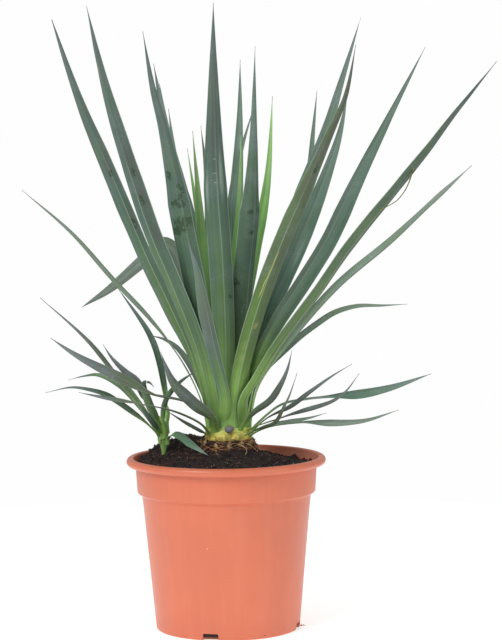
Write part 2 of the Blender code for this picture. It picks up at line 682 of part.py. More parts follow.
def leaf_frame(along, bearing, roll):
    """Across and over directions of a blade, from its bearing and its roll in degrees."""
    turn = math.radians(bearing)
    level = Vector((math.cos(turn), math.sin(turn), 0.0))
    across = (level - along * level.dot(along)).normalized()
    over = along.cross(across)
    angle = math.radians(roll)
    turned_across = across * math.cos(angle) + over * math.sin(angle)
    return turned_across, along.cross(turned_across)


def leaf_facing(leaf, stem):
    """The bearing in which a leaf leans as a whole."""
    tip = leaf.route[-1]
    return math.degrees(math.atan2(tip[0] - stem[0], -(tip[1] - stem[1])))


def leaf_rings(leaf, stem, steps):
    """The sections of a leaf from its foot, seated on its stem, to its tip."""
    broad = leaf.width >= BROAD_LEAF
    facing = leaf_facing(leaf, stem)
    turn = math.radians(leaf.bearing)
    outward = Vector((math.sin(turn), -math.cos(turn), 0.0))
    reach = profile_radius(stem[2], leaf.foot)
    foot = Vector((stem[0], stem[1], leaf.foot)) + outward * reach
    thick = BLADE_THICKNESS + leaf.width * THICKNESS_PER_WIDTH
    for _ in range(SEAT_TRIES):
        points = [foot] + [Vector(point) for point in leaf.route]
        stations = smooth_route(points, steps)
        rings = []
        for i, (place, along) in enumerate(stations):
            share = i / steps
            half = blade_width(share, leaf) / 2
            body = thick * (1 - THINNING * share)
            turned_share = ease((share - leaf.turned) / TURN_TAKES + 1)
            channel = CHANNEL_AT_FOOT + (CHANNEL - CHANNEL_AT_FOOT) * turned_share
            depth = half * channel * (1 - share / 2)
            bearing = leaf.bearing + (facing - leaf.bearing) * turned_share
            across, over = leaf_frame(along, bearing, leaf.roll * turned_share)
            section = blade_section(half, body, depth, broad)
            rings.append([place + across * a + over * b for a, b in section])
        clearance = min(stem_clearance(point, stem) for point in rings[0])
        if abs(clearance - SEAT_GAP) < 0.02:
            break
        foot += outward * (SEAT_GAP - clearance)
    return rings


def leaf_mesh(leaf, stem):
    """A closed blade, split into triangles alike on both faces."""
    broad = leaf.width >= BROAD_LEAF
    steps = BROAD_STATIONS if broad else NARROW_STATIONS
    rings = leaf_rings(leaf, stem, steps)
    form = bmesh.new()
    rows = [[form.verts.new(Vector(point) * MM) for point in ring] for ring in rings]
    count = len(rings[0])
    faces = count // 2 - 1
    for lower, upper in zip(rows, rows[1:]):
        for i in range(faces):
            k = count - 1 - i
            form.faces.new((lower[i], lower[i + 1], upper[i + 1]))
            form.faces.new((lower[i], upper[i + 1], upper[i]))
            form.faces.new((lower[k], upper[k - 1], lower[k - 1]))
            form.faces.new((lower[k], upper[k], upper[k - 1]))
        for i, j in ((faces, faces + 1), (count - 1, 0)):
            form.faces.new((lower[i], lower[j], upper[j]))
            form.faces.new((lower[i], upper[j], upper[i]))
    for row in (rows[0], rows[-1]):
        for i in range(faces):
            k = count - 1 - i
            form.faces.new((row[i], row[k], row[k - 1]))
            form.faces.new((row[i], row[k - 1], row[i + 1]))
    bmesh.ops.recalc_face_normals(form, faces=form.faces)
    mesh = bpy.data.meshes.new(leaf.name)
    form.to_mesh(mesh)
    form.free()
    shade(mesh)
    return mesh


def build_leaves():
    """Every leaf, on the crown or on the offset's stem."""
    finishes = {tint: material("leaf_" + tint, colour, 0.5) for tint, colour in TINTS.items()}
    crown = (CROWN_X, CROWN_Y, CROWN_PROFILE)
    offset = (OFFSET_X, OFFSET_Y, OFFSET_PROFILE)
    for group, stem in ((MAIN_LEAVES, crown), (LOW_LEAVES, crown), (OFFSET_LEAVES, offset)):
        for leaf in group:
            add_object(leaf.name, leaf_mesh(leaf, stem), finishes[leaf.tint])


def main():
    """Build the whole plant."""
    clear_scene()
    build_pot()
    build_soil()
    build_crown()
    build_root_collar()
    build_offset_stem()
    build_leaves()


main()
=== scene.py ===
"""Potted yucca: the looks of the packed model, laid out as a Blender add-on.

The origin is the middle of the pot's underside. -Y is the front, +X the right and +Z up.
Tables and named sizes are in millimetres, and MM turns them into metres where meshes are made.
"""
import math
import random
from collections import namedtuple

import bmesh
import bpy
import numpy as np
from bpy.props import FloatProperty, FloatVectorProperty, IntProperty, PointerProperty
from mathutils import Euler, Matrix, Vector, noise


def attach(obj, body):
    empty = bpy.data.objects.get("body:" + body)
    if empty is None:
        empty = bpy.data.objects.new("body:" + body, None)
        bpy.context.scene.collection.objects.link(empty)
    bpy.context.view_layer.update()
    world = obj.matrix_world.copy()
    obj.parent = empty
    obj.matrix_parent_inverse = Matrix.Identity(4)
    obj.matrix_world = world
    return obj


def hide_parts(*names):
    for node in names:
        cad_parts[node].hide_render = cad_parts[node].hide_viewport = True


bl_info = {
    "name": "Potted Yucca",
    "version": (1, 0, 0),
    "blender": (4, 5, 0),
    "location": "3D View > Sidebar > Yucca",
    "description": "Dresses the potted yucca: pot, soil, crown, leaves and side shoot",
    "category": "Add Mesh",
}

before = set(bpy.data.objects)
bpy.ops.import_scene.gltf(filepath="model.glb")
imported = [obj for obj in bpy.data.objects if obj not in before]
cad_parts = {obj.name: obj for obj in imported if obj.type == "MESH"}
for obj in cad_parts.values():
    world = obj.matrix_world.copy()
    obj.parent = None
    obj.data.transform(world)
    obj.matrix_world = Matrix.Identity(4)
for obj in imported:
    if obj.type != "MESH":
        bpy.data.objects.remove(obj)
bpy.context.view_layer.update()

MM = 0.001
BODY = "root"
SEAT_GAP = 0.3
BLADE = "blade"
LEVEL = (1.0, 1.0, 0.0)

# Pot
POT_SEGMENTS = 192
POT_HEIGHT = 181.8
RIM_RADIUS = 105.0
RIM_MOUTH_RADIUS = 97.4
RIM_UNDERSIDE = 173.4
COLLAR_TOP_RADIUS = 95.4
COLLAR_FOOT_RADIUS = 93.8
COLLAR_FOOT = 146.0
BODY_TOP_RADIUS = 88.9
BODY_TOP = 141.0
BASE_RADIUS = 76.0
BASE_CORNER = 2.4
STEP_ROUNDING = 1.4
STEP_FILLET = 1.5
RIM_FILLET = 1.6
MOUTH_ROUNDING = 2.0
WALL = 1.8
FLOOR = 2.6
INNER_CORNER = 3.0
# The inner wall starts this far out and down from under the rim
THROAT = (1.2, 0.4)
BODY_RINGS = 24
COLLAR_RINGS = 10
SHARP_ANGLE = 34
NOTCH_BEARINGS = (-14, 76, 166, 256)
NOTCH_WIDTH = 20.0
NOTCH_TOP_WIDTH = 16.5
NOTCH_HEIGHT = 7.5
NOTCH_INNER_RADIUS = 66.0
NOTCH_ROUNDING = 1.6
# Areas with fine scratches, and two single marks: place and reach
POT_SCUFFS = (((62, -74, 169), (16, 20, 4)), ((30, -90, 165), (20, 20, 3)))
POT_CRUMB = ((37.5, -67, 3.5), (1.6, 4, 1.0))
POT_NICK = ((-20.5, -83.5, 97.5), (0.9, 4, 0.9))
# Where the pot is darkened: dried soil at its foot, and painted shade on its inner wall and on the
# inside of its lip. These are ranges of height or radius over which each sets in. The inside is told
# by its depth under the outer skin, whose radius grows with height.
DIRT_AT_FOOT = (30.0, 0.0)
SHADE_INSIDE_ABOVE = (150.0, 165.0)
SHADE_LIP_RADIUS = (98.2, 97.2)
SHADE_LIP_ABOVE = (172.8, 174.0)
SHADE_LIP_BELOW = (181.2, 179.0)
SKIN_DEPTH = (0.8, 1.4)
SKIN_RADIUS = 84.6
SKIN_SLOPE = 0.063

# Soil: a level with mounds (x, y, rise, spread) and lumps (rise, x waves, y waves, phase)
SOIL_LEVEL = 172.5
SOIL_MOUNDS = (
    (5, -4, 18.0, 38),
    (-68, 46, 9.0, 24),
    (-34, 58, 14.0, 22),
    (-15, 78, 6.0, 38),
    (68, 34, -4.0, 30),
)
SOIL_LUMPS = (
    (0.9, 0.21, 0.07, 0.4),
    (0.8, -0.09, 0.24, 1.9),
    (0.7, 0.31, -0.22, 3.1),
    (0.5, 0.43, 0.37, 0.8),
)
SOIL_EDGE_GAP = 0.6
SOIL_SEGMENTS = 260
SOIL_RINGS = 96
# Clods and crumbs of the soil's surface, as rise and size
SOIL_GRAIN = ((1.5, 13.0), (1.1, 6.0), (0.7, 2.9))
GRAIN_GAIN = 2.2
GRAIN_DROP = 0.35
GRAIN_SHIFT = 9.3
# Small heaps of the loose soil: place, rise and spread
HEAPS = ((-66, 10, 4.0, 11), (4, -24, 1.5, 9))
# How pale the crumbs are beside the peat, on the soil's top and in the loose crumbs. The pale
# grains are partly the crumbs' own colour and partly painted highlights where light catches them.
TOP_PALE = 1.6
CRUMBS_PALE = 2.6
CRUMB_SEED = 3
CLOD_SEED = 8
FLAKE_SEED = 14
# The large crumbs and the flakes keep this far from the crown's axis
CLODS_CLEAR = 27.0
FLAKES_CLEAR = 30.0
FLAKES = 5200.0
FLAKE_WIDTH = 1.1
FLAKE_FLATNESS = 0.6
FIBRE_SEED = 31
FIBRES = 150
FIBRES_REACH = 88
FIBRES_EDGE = 89

# Crown
CROWN_X = 3.0
CROWN_Y = 5.0
CROWN_SEGMENTS = 96
CROWN_PROFILE = (
    (19.0, 150.0),
    (21.5, 153.0),
    (22.0, 190.0),
    (23.0, 202.0),
    (22.2, 211.0),
    (20.0, 218.0),
    (15.5, 228.0),
    (10.5, 238.0),
    (6.0, 247.0),
    (2.0, 252.0),
)
STUB_X = 3.6
STUB_RADIUS = 4.2
STUB_REACH = 31.0
STUB_HEIGHT = 212.6
STUB_ROOT = 18.0
# How far from the stub's middle its darker ring sets in, and how far back the stub turns to flesh
STUB_RING = (3.0, 4.2)
STUB_BACK = (-23.0, -19.0)
# Heights between which the crown turns to the leaves' pale green, and at its foot to the husk's
# dark, which is old husk with painted shade where the husk meets the crown
CROWN_GREEN = (204.5, 220.0)
CROWN_BROWN = (203.0, 198.0)
# The crown's skin, swollen where the low leaves leave it
CROWN_SKIN = (
    (19.0, 150.0),
    (21.5, 153.0),
    (22.6, 190.0),
    (25.2, 200.0),
    (25.4, 204.0),
    (24.2, 209.0),
    (22.4, 214.0),
    (20.2, 219.0),
    (15.5, 228.0),
    (10.5, 238.0),
    (6.0, 247.0),
    (2.0, 252.0),
)

# Root collar
COLLAR_FLOOR = 178.0
COLLAR_INNER_RADIUS = 23.6
# The husk's core under its strands
HUSK_PROFILE = (
    (COLLAR_INNER_RADIUS, COLLAR_FLOOR),
    (27.0, COLLAR_FLOOR + 0.1),
    (27.0, 189.0),
    (27.6, 192.5),
    (27.4, 197.0),
    (25.2, 200.0),
    (COLLAR_INNER_RADIUS, 200.5),
)
HUSK_SEED = 12
HUSK_STRANDS = 120
SCALE_SEED = 5
HUSK_SCALES = 12

# Offset
OFFSET_X = -66.0
OFFSET_Y = 14.0
OFFSET_PROFILE = (
    (2.4, 160.0),
    (3.0, 163.0),
    (3.2, 187.0),
    (5.0, 198.0),
    (6.0, 207.0),
    (4.6, 214.0),
    (1.6, 219.0),
)
# The stem's skin, slimmer at the soil
OFFSET_SKIN = (
    (1.6, 160.0),
    (2.0, 182.0),
    (3.0, 189.0),
    (4.6, 198.0),
    (5.6, 206.0),
    (4.4, 213.0),
    (1.4, 218.0),
)

# Leaves: widths are shares of each leaf's own
NECK = 0.6
NECK_ENDS = 0.06
WIDEST_FROM = 0.36
WIDEST_TO = 0.56
TIP_WIDTH = 1.6
FINE_TIP_WIDTH = 0.5
FINE_NECK = 0.84
BLADE_THICKNESS = 1.1
THICKNESS_PER_WIDTH = 0.035
THINNING = 0.55
MARGIN_THICKNESS = 0.6
CHANNEL_AT_FOOT = 0.12
CHANNEL = 0.32
TURN_TAKES = 0.3
BROAD_LEAF = 13.0
CHANNEL_POWER = 1.5
# How broad and narrow leaves are divided along and across while their feet are seated, as in the CAD
SEAT_STEPS = {True: 12, False: 10}
SECTION_SHARES = {True: (-1.0, -0.55, 0.0, 0.55, 1.0), False: (-1.0, 0.0, 1.0)}
SEAT_TRIES = 6
SEAT_NEARNESS = 0.02
# A narrow end is thinner: its least share of the thickness, and the half width that adds a whole one
THIN_END = 0.35
THIN_BELOW = 4.0
CLASP_WIDTH = 0.92
CLASP_ENDS = 0.16
CLASP_CHANNEL = 0.3
BROAD_POINTS = 32
NARROW_POINTS = 18
NARROW_RIPPLE = 0.6
RIPPLE_LENGTH = 55.0
# How full a swept section is towards its edges: less for a blade, 1 for a round strand
BLADE_SECTION = 0.6
SCALE_SECTION = 0.8
ROUND_SECTION = 1.0
# How far a foot reaches down its stem, and the share of the blade that is pale above it
MAIN_CLASP = (3.0, 0.23)
LOW_CLASP = (5.0, 0.26)
OFFSET_CLASP = (7.0, 0.35)
# The numbers of the leaves give their seeds, and each group's start here
LOW_LEAVES_FROM = 40
OFFSET_LEAVES_FROM = 60
SEED_STEP = 3.7
RIPPLE_SEED_STEP = 1.7

# A leaf's foot is at a bearing round its stem, 0 at the front and 90 at the right, and at a height.
# Its roll turns the blade about its middle line, from none at the foot. Its point is the form of
# its end: 1 narrows evenly, less draws out a long thin point, more keeps it broad. The turn is
# complete at the share of its length given as turned.
# Its route is the points that its middle line passes after the foot, ending at its tip.
Leaf = namedtuple("Leaf", "name bearing foot width roll point turned tint route")

# The rosette, and the tips that show behind it
MAIN_LEAVES = (
    Leaf("leaf_left_outer", -88, 217, 22, 40, 1.5, 0.3, "blue",
         ((-36, -10, 288), (-57, -14, 336), (-82, -15, 391), (-124, -18, 495), (-148, -20, 557),
          (-174, -20, 640))),
    Leaf("leaf_left_middle", -47, 217, 23.5, 22, 1.45, 0.3, "blue",
         ((-26, -24, 289), (-48, -34, 352), (-74, -44, 418), (-90, -52, 468), (-118, -62, 568),
          (-135, -70, 650))),
    Leaf("leaf_left_inner", -85, 227, 25, 20, 0.8, 0.3, "blue",
         ((-22, -16, 307), (-34, -34, 380), (-42, -46, 425), (-52, -66, 487), (-60, -77, 529),
          (-69, -84, 566), (-78, -88, 623))),
    Leaf("leaf_front_short", -14, 218.5, 14, 0, 1.0, 0.3, "grey",
         ((-1, -32, 245), (-11, -55, 292), (-19, -85, 334), (-27, -130, 385), (-35, -165, 417))),
    Leaf("leaf_front_tall", -28, 228, 24.5, 0, 1.0, 0.3, "blue",
         ((-1, -23, 280), (-2, -36, 344), (-4, -42, 398), (-8, -48, 471), (-8, -58, 589),
          (-7, -64, 652))),
    Leaf("leaf_front_dark", 30, 228, 22, 0, 0.62, 0.3, "dark",
         ((12, -13, 275), (18, -22, 338), (23, -34, 391), (27, -50, 430), (31, -78, 493),
          (34, -110, 606))),
    Leaf("leaf_right_olive", 22, 217, 23, -14, 0.75, 0.3, "olive",
         ((15, -30, 260), (31, -48, 324), (54, -66, 391), (82, -84, 457), (108, -98, 517),
          (122, -104, 549), (128, -107, 571), (134, -110, 606))),
    Leaf("leaf_right_teal", 84, 228, 24, 32, 1.2, 0.3, "teal",
         ((28, 9, 273), (51, 23, 335), (77, 34, 392), (105, 44, 458), (125, 52, 516),
          (135, 58, 562))),
    Leaf("leaf_right_middle", 94, 217, 21, 48, 1.0, 0.3, "teal",
         ((35, -8, 278), (56, -6, 320), (84, 0, 362), (113, 7, 408), (143, 13, 470),
          (188, 20, 558), (215, 22, 609))),
    Leaf("leaf_right_outer", 58, 217, 20, -24, 1.5, 0.2, "green",
         ((21, -24, 243), (34, -28, 265), (56, -34, 300), (98, -42, 356), (130, -48, 402),
          (200, -57, 488), (232, -60, 530), (280, -60, 590))),
    Leaf("leaf_right_low", 84, 208, 8.5, -80, 1.3, 0.35, "grey",
         ((34, 1, 252), (63, 7, 296), (118, 14, 358), (178, 22, 407), (226, 28, 450),
          (264, 32, 484))),
    Leaf("leaf_right_arched", 108, 209, 7, 65, 1.6, 0.4, "grey",
         ((34, 10, 258), (72, 16, 299), (99, 24, 319), (118, 30, 330), (142, 36, 336), (169, 40, 336),
          (196, 44, 337))),
    Leaf("leaf_left_low", -96, 209, 5.5, 75, 2.0, 0.5, "grey",
         ((-26, -4, 242), (-48, 6, 286), (-81, 16, 329), (-118, 24, 369), (-161, 32, 418),
          (-213, 36, 464))),
    Leaf("leaf_left_curled", -120, 210, 7, -65, 1.6, 0.5, "teal",
         ((-29, 25, 260), (-49, 38, 292), (-63, 42, 302), (-80, 46, 307))),
    Leaf("leaf_rear_bent", -135, 217, 18, -80, 3.0, 0.4, "grey",
         ((-26, 60, 311), (-42, 90, 363), (-53, 105, 394), (-66, 112, 401), (-84, 118, 386),
          (-126, 126, 352), (-158, 130, 332))),
    Leaf("leaf_rear_left_1", -120, 228, 14, -20, 1.8, 0.3, "blue",
         ((-23, 19, 304), (-48, 64, 460), (-58, 76, 510), (-66, 86, 556), (-73, 95, 598))),
    Leaf("leaf_rear_left_2", -145, 226, 13, -10, 1.8, 0.3, "blue",
         ((-19, 26, 303), (-42, 100, 450), (-57, 136, 510), (-64, 152, 545), (-69, 172, 579))),
    Leaf("leaf_rear_left_3", -164, 218, 12, 0, 1.8, 0.3, "blue",
         ((-17, 47, 303), (-38, 140, 440), (-51, 172, 484), (-60, 198, 551))),
    Leaf("leaf_young_1", 178, 231, 9, 0, 1.0, 0.3, "young",
         ((-10, 30, 302), (-27, 112, 427), (-35, 152, 480), (-39, 175, 506))),
    Leaf("leaf_young_2", -112, 238, 12, 0, 1.0, 0.3, "young",
         ((-10, 13, 303), (-20, 44, 375), (-26, 82, 449), (-32, 112, 525))),
    Leaf("leaf_young_3", -157, 240, 9, 0, 1.5, 0.3, "olive",
         ((-4, 20, 303), (-14, 64, 396), (-18, 100, 480), (-23, 122, 531))),
    Leaf("leaf_young_4", 142, 236, 13, 0, 1.0, 0.3, "young",
         ((17, 22, 303), (35, 75, 396), (46, 104, 449), (52, 138, 492), (57, 170, 563))),
    Leaf("leaf_heart_1", 170, 247, 16, 0, 1.0, 0.3, "teal",
         ((4, 14, 303), (12, 50, 418), (19, 86, 525), (21, 112, 602))),
    Leaf("leaf_heart_2", 4, 241, 9, -88, 1.0, 0.3, "young",
         ((8, -9, 300), (11, -10, 345), (14, -7, 410), (17, -4, 451), (19, 0, 488), (20, 6, 522))),
    Leaf("leaf_heart_3", 70, 247, 18, 0, 0.8, 0.3, "teal",
         ((9, 3, 304), (10, 12, 398), (11, 17, 451), (15, 24, 480), (23, 34, 512),
          (35, 46, 551))),
    Leaf("leaf_rear_right_1", 148, 217, 12, 0, 1.6, 0.3, "teal",
         ((26, 50, 302), (76, 122, 416), (97, 160, 478), (102, 178, 519), (108, 201, 569))),
    Leaf("leaf_rear_right_2", 131, 226, 21, 28, 1.0, 0.3, "blue",
         ((25, 29, 298), (73, 63, 418), (111, 82, 516), (134, 92, 588), (152, 98, 645))),
    Leaf("leaf_rear_1", 180, 211, 18, 0, 1.0, 0.3, "teal",
         ((6, 64, 290), (6, 130, 345), (2, 200, 385), (0, 250, 400))),
    Leaf("leaf_rear_2", -150, 213, 15, 0, 1.0, 0.3, "blue",
         ((-8, 60, 270), (-22, 128, 315), (-34, 195, 353), (-40, 240, 367))),
    Leaf("leaf_rear_3", 152, 213, 16, 0, 1.0, 0.3, "teal",
         ((22, 60, 270), (44, 125, 316), (62, 190, 355), (72, 240, 372))),
)

# The thin leaves round the crown's foot
LOW_LEAVES = (
    Leaf("low_leaf_left_1", -38, 208, 12.5, 65, 1.0, 0.4, "dark",
         ((-14, -28, 224), (-34, -37, 243), (-53, -44, 264), (-61, -48, 282), (-66, -50, 297))),
    Leaf("low_leaf_left_2", -74, 210, 12, 80, 1.4, 0.65, "grey",
         ((-23, -13, 233), (-46, -20, 243), (-78, -26, 251), (-106, -31, 267), (-153, -36, 293),
          (-180, -38, 312))),
    Leaf("low_leaf_left_3", -62, 205, 8, 75, 1.4, 0.85, "dark",
         ((-23, -19, 215), (-32, -28, 223), (-59, -42, 236), (-91, -52, 244), (-130, -62, 253),
          (-150, -66, 258))),
    Leaf("low_leaf_left_4", -80, 203, 4, 60, 1.0, 0.4, "dark",
         ((-25, -20, 210), (-42, -28, 221), (-53, -34, 229), (-63, -38, 236))),
    Leaf("low_leaf_right_1", 32, 209, 7, -55, 1.0, 0.4, "dark",
         ((29, -30, 230), (47, -40, 245), (57, -47, 261), (64, -53, 277), (69, -60, 298))),
    Leaf("low_leaf_right_2", 44, 203, 4, -50, 1.0, 0.4, "dark",
         ((38, -40, 216), (51, -60, 224), (60, -80, 243), (65, -86, 254), (73, -94, 278))),
    Leaf("low_leaf_right_3", 76, 203, 5, -85, 1.0, 0.5, "dark",
         ((42, -16, 222), (67, -20, 235), (87, -22, 250), (112, -26, 268), (132, -28, 280))),
    Leaf("low_leaf_right_4", 56, 208, 5, -88, 1.2, 0.6, "dark",
         ((60, -34, 226), (80, -40, 233), (111, -48, 244), (124, -52, 254), (138, -56, 273))),
    Leaf("low_leaf_right_5", 92, 205, 11, 82, 1.4, 0.7, "teal",
         ((57, 8, 233), (85, 12, 239), (114, 16, 241), (140, 18, 243), (176, 20, 250),
          (219, 22, 264))),
    Leaf("low_leaf_right_6", 114, 202, 5, 80, 1.0, 0.5, "grey",
         ((38, 14, 210), (68, 12, 216), (89, 10, 220), (107, 10, 225))),
    Leaf("low_leaf_right_7", 62, 201, 7.5, 85, 1.2, 0.65, "grey",
         ((42, -18, 213), (77, -26, 219), (108, -32, 219), (145, -38, 222), (179, -42, 233))),
    Leaf("low_leaf_rear_1", 172, 206, 6, 0, 1.0, 0.3, "dark",
         ((8, 60, 232), (14, 100, 236), (10, 140, 226))),
    Leaf("low_leaf_rear_2", -168, 203, 6, 0, 1.0, 0.3, "dark",
         ((-4, 55, 222), (-14, 90, 228), (-24, 125, 224))),
)

# The side shoot
OFFSET_LEAVES = (
    Leaf("offset_leaf_1", -100, 204, 5, 70, 1.0, 0.4, "dark",
         ((-85, 4, 226), (-104, 0, 253), (-135, -10, 297), (-152, -14, 316), (-191, -24, 353))),
    Leaf("offset_leaf_2", -140, 206, 5, -60, 1.0, 0.3, "green",
         ((-79, 20, 219), (-92, 27, 237), (-105, 35, 253), (-127, 46, 276), (-142, 52, 298))),
    Leaf("offset_leaf_3", 165, 211, 9, -60, 1.0, 0.4, "grey",
         ((-77, 30, 225), (-94, 36, 257), (-107, 38, 269), (-121, 40, 284), (-130, 42, 298))),
    Leaf("offset_leaf_4", -150, 200, 7, -60, 1.0, 0.4, "green",
         ((-75, 26, 208), (-88, 38, 227), (-101, 48, 242), (-115, 56, 254), (-137, 66, 263),
          (-154, 75, 261), (-171, 84, 256))),
    Leaf("offset_leaf_5", -60, 202, 6, 70, 1.0, 0.4, "dark",
         ((-80, -6, 215), (-95, -20, 230), (-111, -34, 244), (-125, -46, 254), (-141, -56, 260),
          (-158, -64, 263), (-183, -74, 259))),
    Leaf("offset_leaf_6", -30, 206, 6, 45, 1.0, 0.3, "dark",
         ((-75, -12, 218), (-94, -30, 247))),
    Leaf("offset_leaf_7", -38, 211, 9, 10, 1.4, 0.3, "green",
         ((-74, -3, 224), (-80, -11, 239), (-85, -18, 257), (-84, -21, 263), (-79, -22, 263),
          (-74, -24, 258))),
    Leaf("offset_leaf_8", 14, 207, 6, -30, 1.2, 0.6, "green",
         ((-66, 1, 222), (-65, -4, 233), (-62, -9, 243), (-55, -14, 254), (-44, -22, 265),
          (-26, -30, 277))),
    Leaf("offset_leaf_9", 116, 212, 7, -55, 1.2, 0.25, "dark",
         ((-63, 20, 241), (-69, 22, 278), (-79, 26, 308), (-113, 34, 359))),
    Leaf("offset_leaf_10", 62, 200, 8, 60, 1.2, 0.3, "teal",
         ((-55, 2, 205), (-47, -8, 204), (-38, -18, 198), (-29, -27, 193), (-18, -35, 187))),
)

# A fibre that has come away from the edge of leaf_right_outer
LEAF_THREAD = ((196, -57, 486), (193.5, -58, 478), (190.2, -59, 468.4), (186.1, -59, 460.1),
               (177.8, -58, 449.8), (168, -57, 444), (160, -56, 440))

SLATE_LEAVES = (
    "low_leaf_left_1", "low_leaf_left_2", "low_leaf_left_3", "low_leaf_left_4",
    "low_leaf_right_1", "low_leaf_right_2", "low_leaf_right_3", "low_leaf_right_4",
    "offset_leaf_1", "offset_leaf_3",
)
# Leaves whose fine finish is another than their solid's
FINISHES = {
    "leaf_front_short": "blue",
    "leaf_rear_left_3": "teal",
    "leaf_left_curled": "grey",
    "offset_leaf_7": "green",
    **dict.fromkeys(SLATE_LEAVES, "slate"),
}

# How broad the end of a fine blade is kept, where it isn't its solid's own point
FINE_POINTS = {"leaf_right_low": 1.6, "leaf_right_olive": 0.95}
# A swelling near a blade's end: its share of the length, its reach and how much wider it is
BELLIES = {"leaf_right_low": (0.90, 0.06, 0.6)}

# Rubbed dark patches on blades: share of the length, place across from -1 to 1, and their reach
# along and across in the same measures
RUBS = {
    "leaf_left_inner": ((0.64, -0.5, 0.016, 0.35), (0.60, 0.5, 0.022, 0.45), (0.565, 0.0, 0.014, 0.75),
                        (0.515, 0.25, 0.022, 1.0), (0.495, -0.35, 0.016, 0.6)),
    "leaf_front_dark": ((0.56, -0.05, 0.012, 0.4), (0.50, 0.3, 0.008, 0.3), (0.36, -0.7, 0.012, 0.35)),
    "leaf_front_tall": ((0.305, 0.75, 0.010, 0.25),),
    "leaf_right_olive": ((0.69, 0.1, 0.012, 0.35), (0.60, 0.5, 0.008, 0.3)),
    "leaf_left_outer": ((0.63, 0.3, 0.010, 0.30), (0.505, 0.55, 0.014, 0.32)),
    "leaf_left_middle": ((0.62, 0.35, 0.012, 0.28), (0.555, 0.3, 0.012, 0.3)),
}
# Yellow streaks, in the same measures
STREAKS = {
    "leaf_right_olive": ((0.275, 0.15, 0.005, 0.2), (0.22, -0.45, 0.005, 0.2), (0.185, -0.4, 0.006, 0.25)),
    "leaf_left_middle": ((0.86, -0.8, 0.012, 0.3),),
}
# Small pale flecks, in the same measures
FLECKS = {
    "leaf_front_tall": ((0.60, 0.6, 0.05, 0.12), (0.56, -0.7, 0.04, 0.10)),
    "leaf_right_teal": ((0.50, -0.3, 0.05, 0.15),),
}
# Purple-brown stains, in the same measures
STAINS = {
    "leaf_left_middle": ((0.64, 0.4, 0.05, 0.5), (0.56, 0.5, 0.04, 0.5), (0.47, 0.5, 0.03, 0.5)),
    "leaf_left_outer": ((0.64, 0.3, 0.035, 0.4), (0.52, 0.6, 0.035, 0.4)),
    "leaf_front_short": ((0.55, 0.1, 0.22, 0.9),),
    "leaf_front_tall": ((0.70, 0.0, 0.14, 0.35),),
    "leaf_right_olive": ((0.68, -0.2, 0.05, 0.6), (0.80, 0.0, 0.04, 0.5)),
    "leaf_right_outer": ((0.55, 0.6, 0.02, 0.3),),
    "leaf_young_3": ((0.85, 0.0, 0.2, 1.2),),
}
# Short pale ticks across the tall front blade: how far right and how high, and their depth and reach
TICKS = ((-7.9, 494.4), (-8.1, 480.0), (-7.2, 470.5))
TICK_DEPTH = -40.0
TICK_REACH = (2.4, 60.0, 0.6)
# The green core of a blade: its place across, how far it reaches and how strong it is
CORES = {
    "leaf_left_outer": (0.15, 0.44, 0.75),
    "leaf_left_middle": (-0.25, 0.46, 0.9),
    "leaf_left_inner": (0.1, 0.26, 0.3),
    "leaf_front_tall": (0.0, 0.46, 0.6),
    "leaf_front_short": (0.2, 0.36, 0.6),
    "leaf_front_dark": (0.3, 0.24, 0.4),
    "leaf_right_olive": (-0.45, 0.44, 1.0),
    "leaf_right_teal": (0.0, 0.26, 0.3),
    "leaf_right_middle": (0.2, 0.26, 0.4),
    "leaf_right_outer": (-0.1, 0.44, 1.0),
    "leaf_right_low": (0.2, 0.25, 0.4),
    "leaf_left_low": (0.1, 0.3, 0.4),
}
PLAIN_CORE = (0.0, 0.2, 0.25)
# How bright each leaf is beside its finish, and the range that the others are drawn from
PLAIN_TONE = 0.94
TONE_RANGE = 0.12
TONES = {
    "leaf_left_outer": 0.71,
    "leaf_left_middle": 0.75,
    "leaf_left_inner": 0.73,
    "leaf_front_tall": 0.72,
    "leaf_front_dark": 1.08,
    "leaf_front_short": 0.93,
    "leaf_right_olive": 0.85,
    "leaf_right_middle": 0.8,
    "leaf_right_outer": 0.64,
    "leaf_right_low": 1.2,
    "leaf_right_arched": 1.25,
    "leaf_rear_bent": 0.82,
    "leaf_young_1": 1.1,
    "leaf_young_2": 0.66,
    "leaf_young_4": 1.12,
    "leaf_heart_2": 1.25,
    "low_leaf_left_1": 0.9,
    "low_leaf_left_2": 1.15,
    "low_leaf_right_6": 1.25,
    "offset_leaf_10": 1.3,
}
# The leaf finish: ranges along a blade from its foot at 0 to its tip at 1, or across it from its middle
# line at 0 to its edges at 1 and -1, and how strongly each mark shows
LOW_TO_MIDDLE = (0.12, 0.42)
MIDDLE_TO_TIP = (0.5, 0.95)
CORE_ACROSS = (0.6, 0.12)
CORE_FADES = (0.08, -0.16)
MARGIN_ACROSS = (0.92, 0.99)
MARGIN_FADES = (0.95, 0.75, 0.0, 0.5)
FOLD_PLACE = 0.22
FOLD_ACROSS = (0.07, 0.02)
FOLD_FADES = (0.8, 0.5, 0.0, 0.4)
DRY_TIP = (0.982, 1.004)
STREAK_SHOWS = 0.75
FLECK_SHOWS = 0.6
TICK_SHOWS = 0.6
CLOUDS_SHOW = 0.4
# The yellow line that crosses the front's olive blade: the part of the length that it spans
CRACK_FROM = (0.34, 0.36)
CRACK_TO = (0.48, 0.45)
CRACK_ACROSS = (0.07, 0.03)
# What the leaf finish reads on the side shoot's stem
STEM_VALUES = ((BLADE, (0.0, 0.3, 1.0)), ("marks", (0.0, 0.0, 0.0)), ("own", (0.8, 5.0, 0.9)))


# Settings

def colour(name, description, red, green, blue):
    """A colour setting, with its parts as a screen shows them."""
    return FloatVectorProperty(name=name, description=description, default=(red, green, blue),
                               subtype="COLOR_GAMMA", size=3, min=0.0, max=1.0)


def share_of(name, description, value):
    """A setting between 0 and 1."""
    return FloatProperty(name=name, description=description, default=value, subtype="FACTOR",
                         min=0.0, max=1.0)


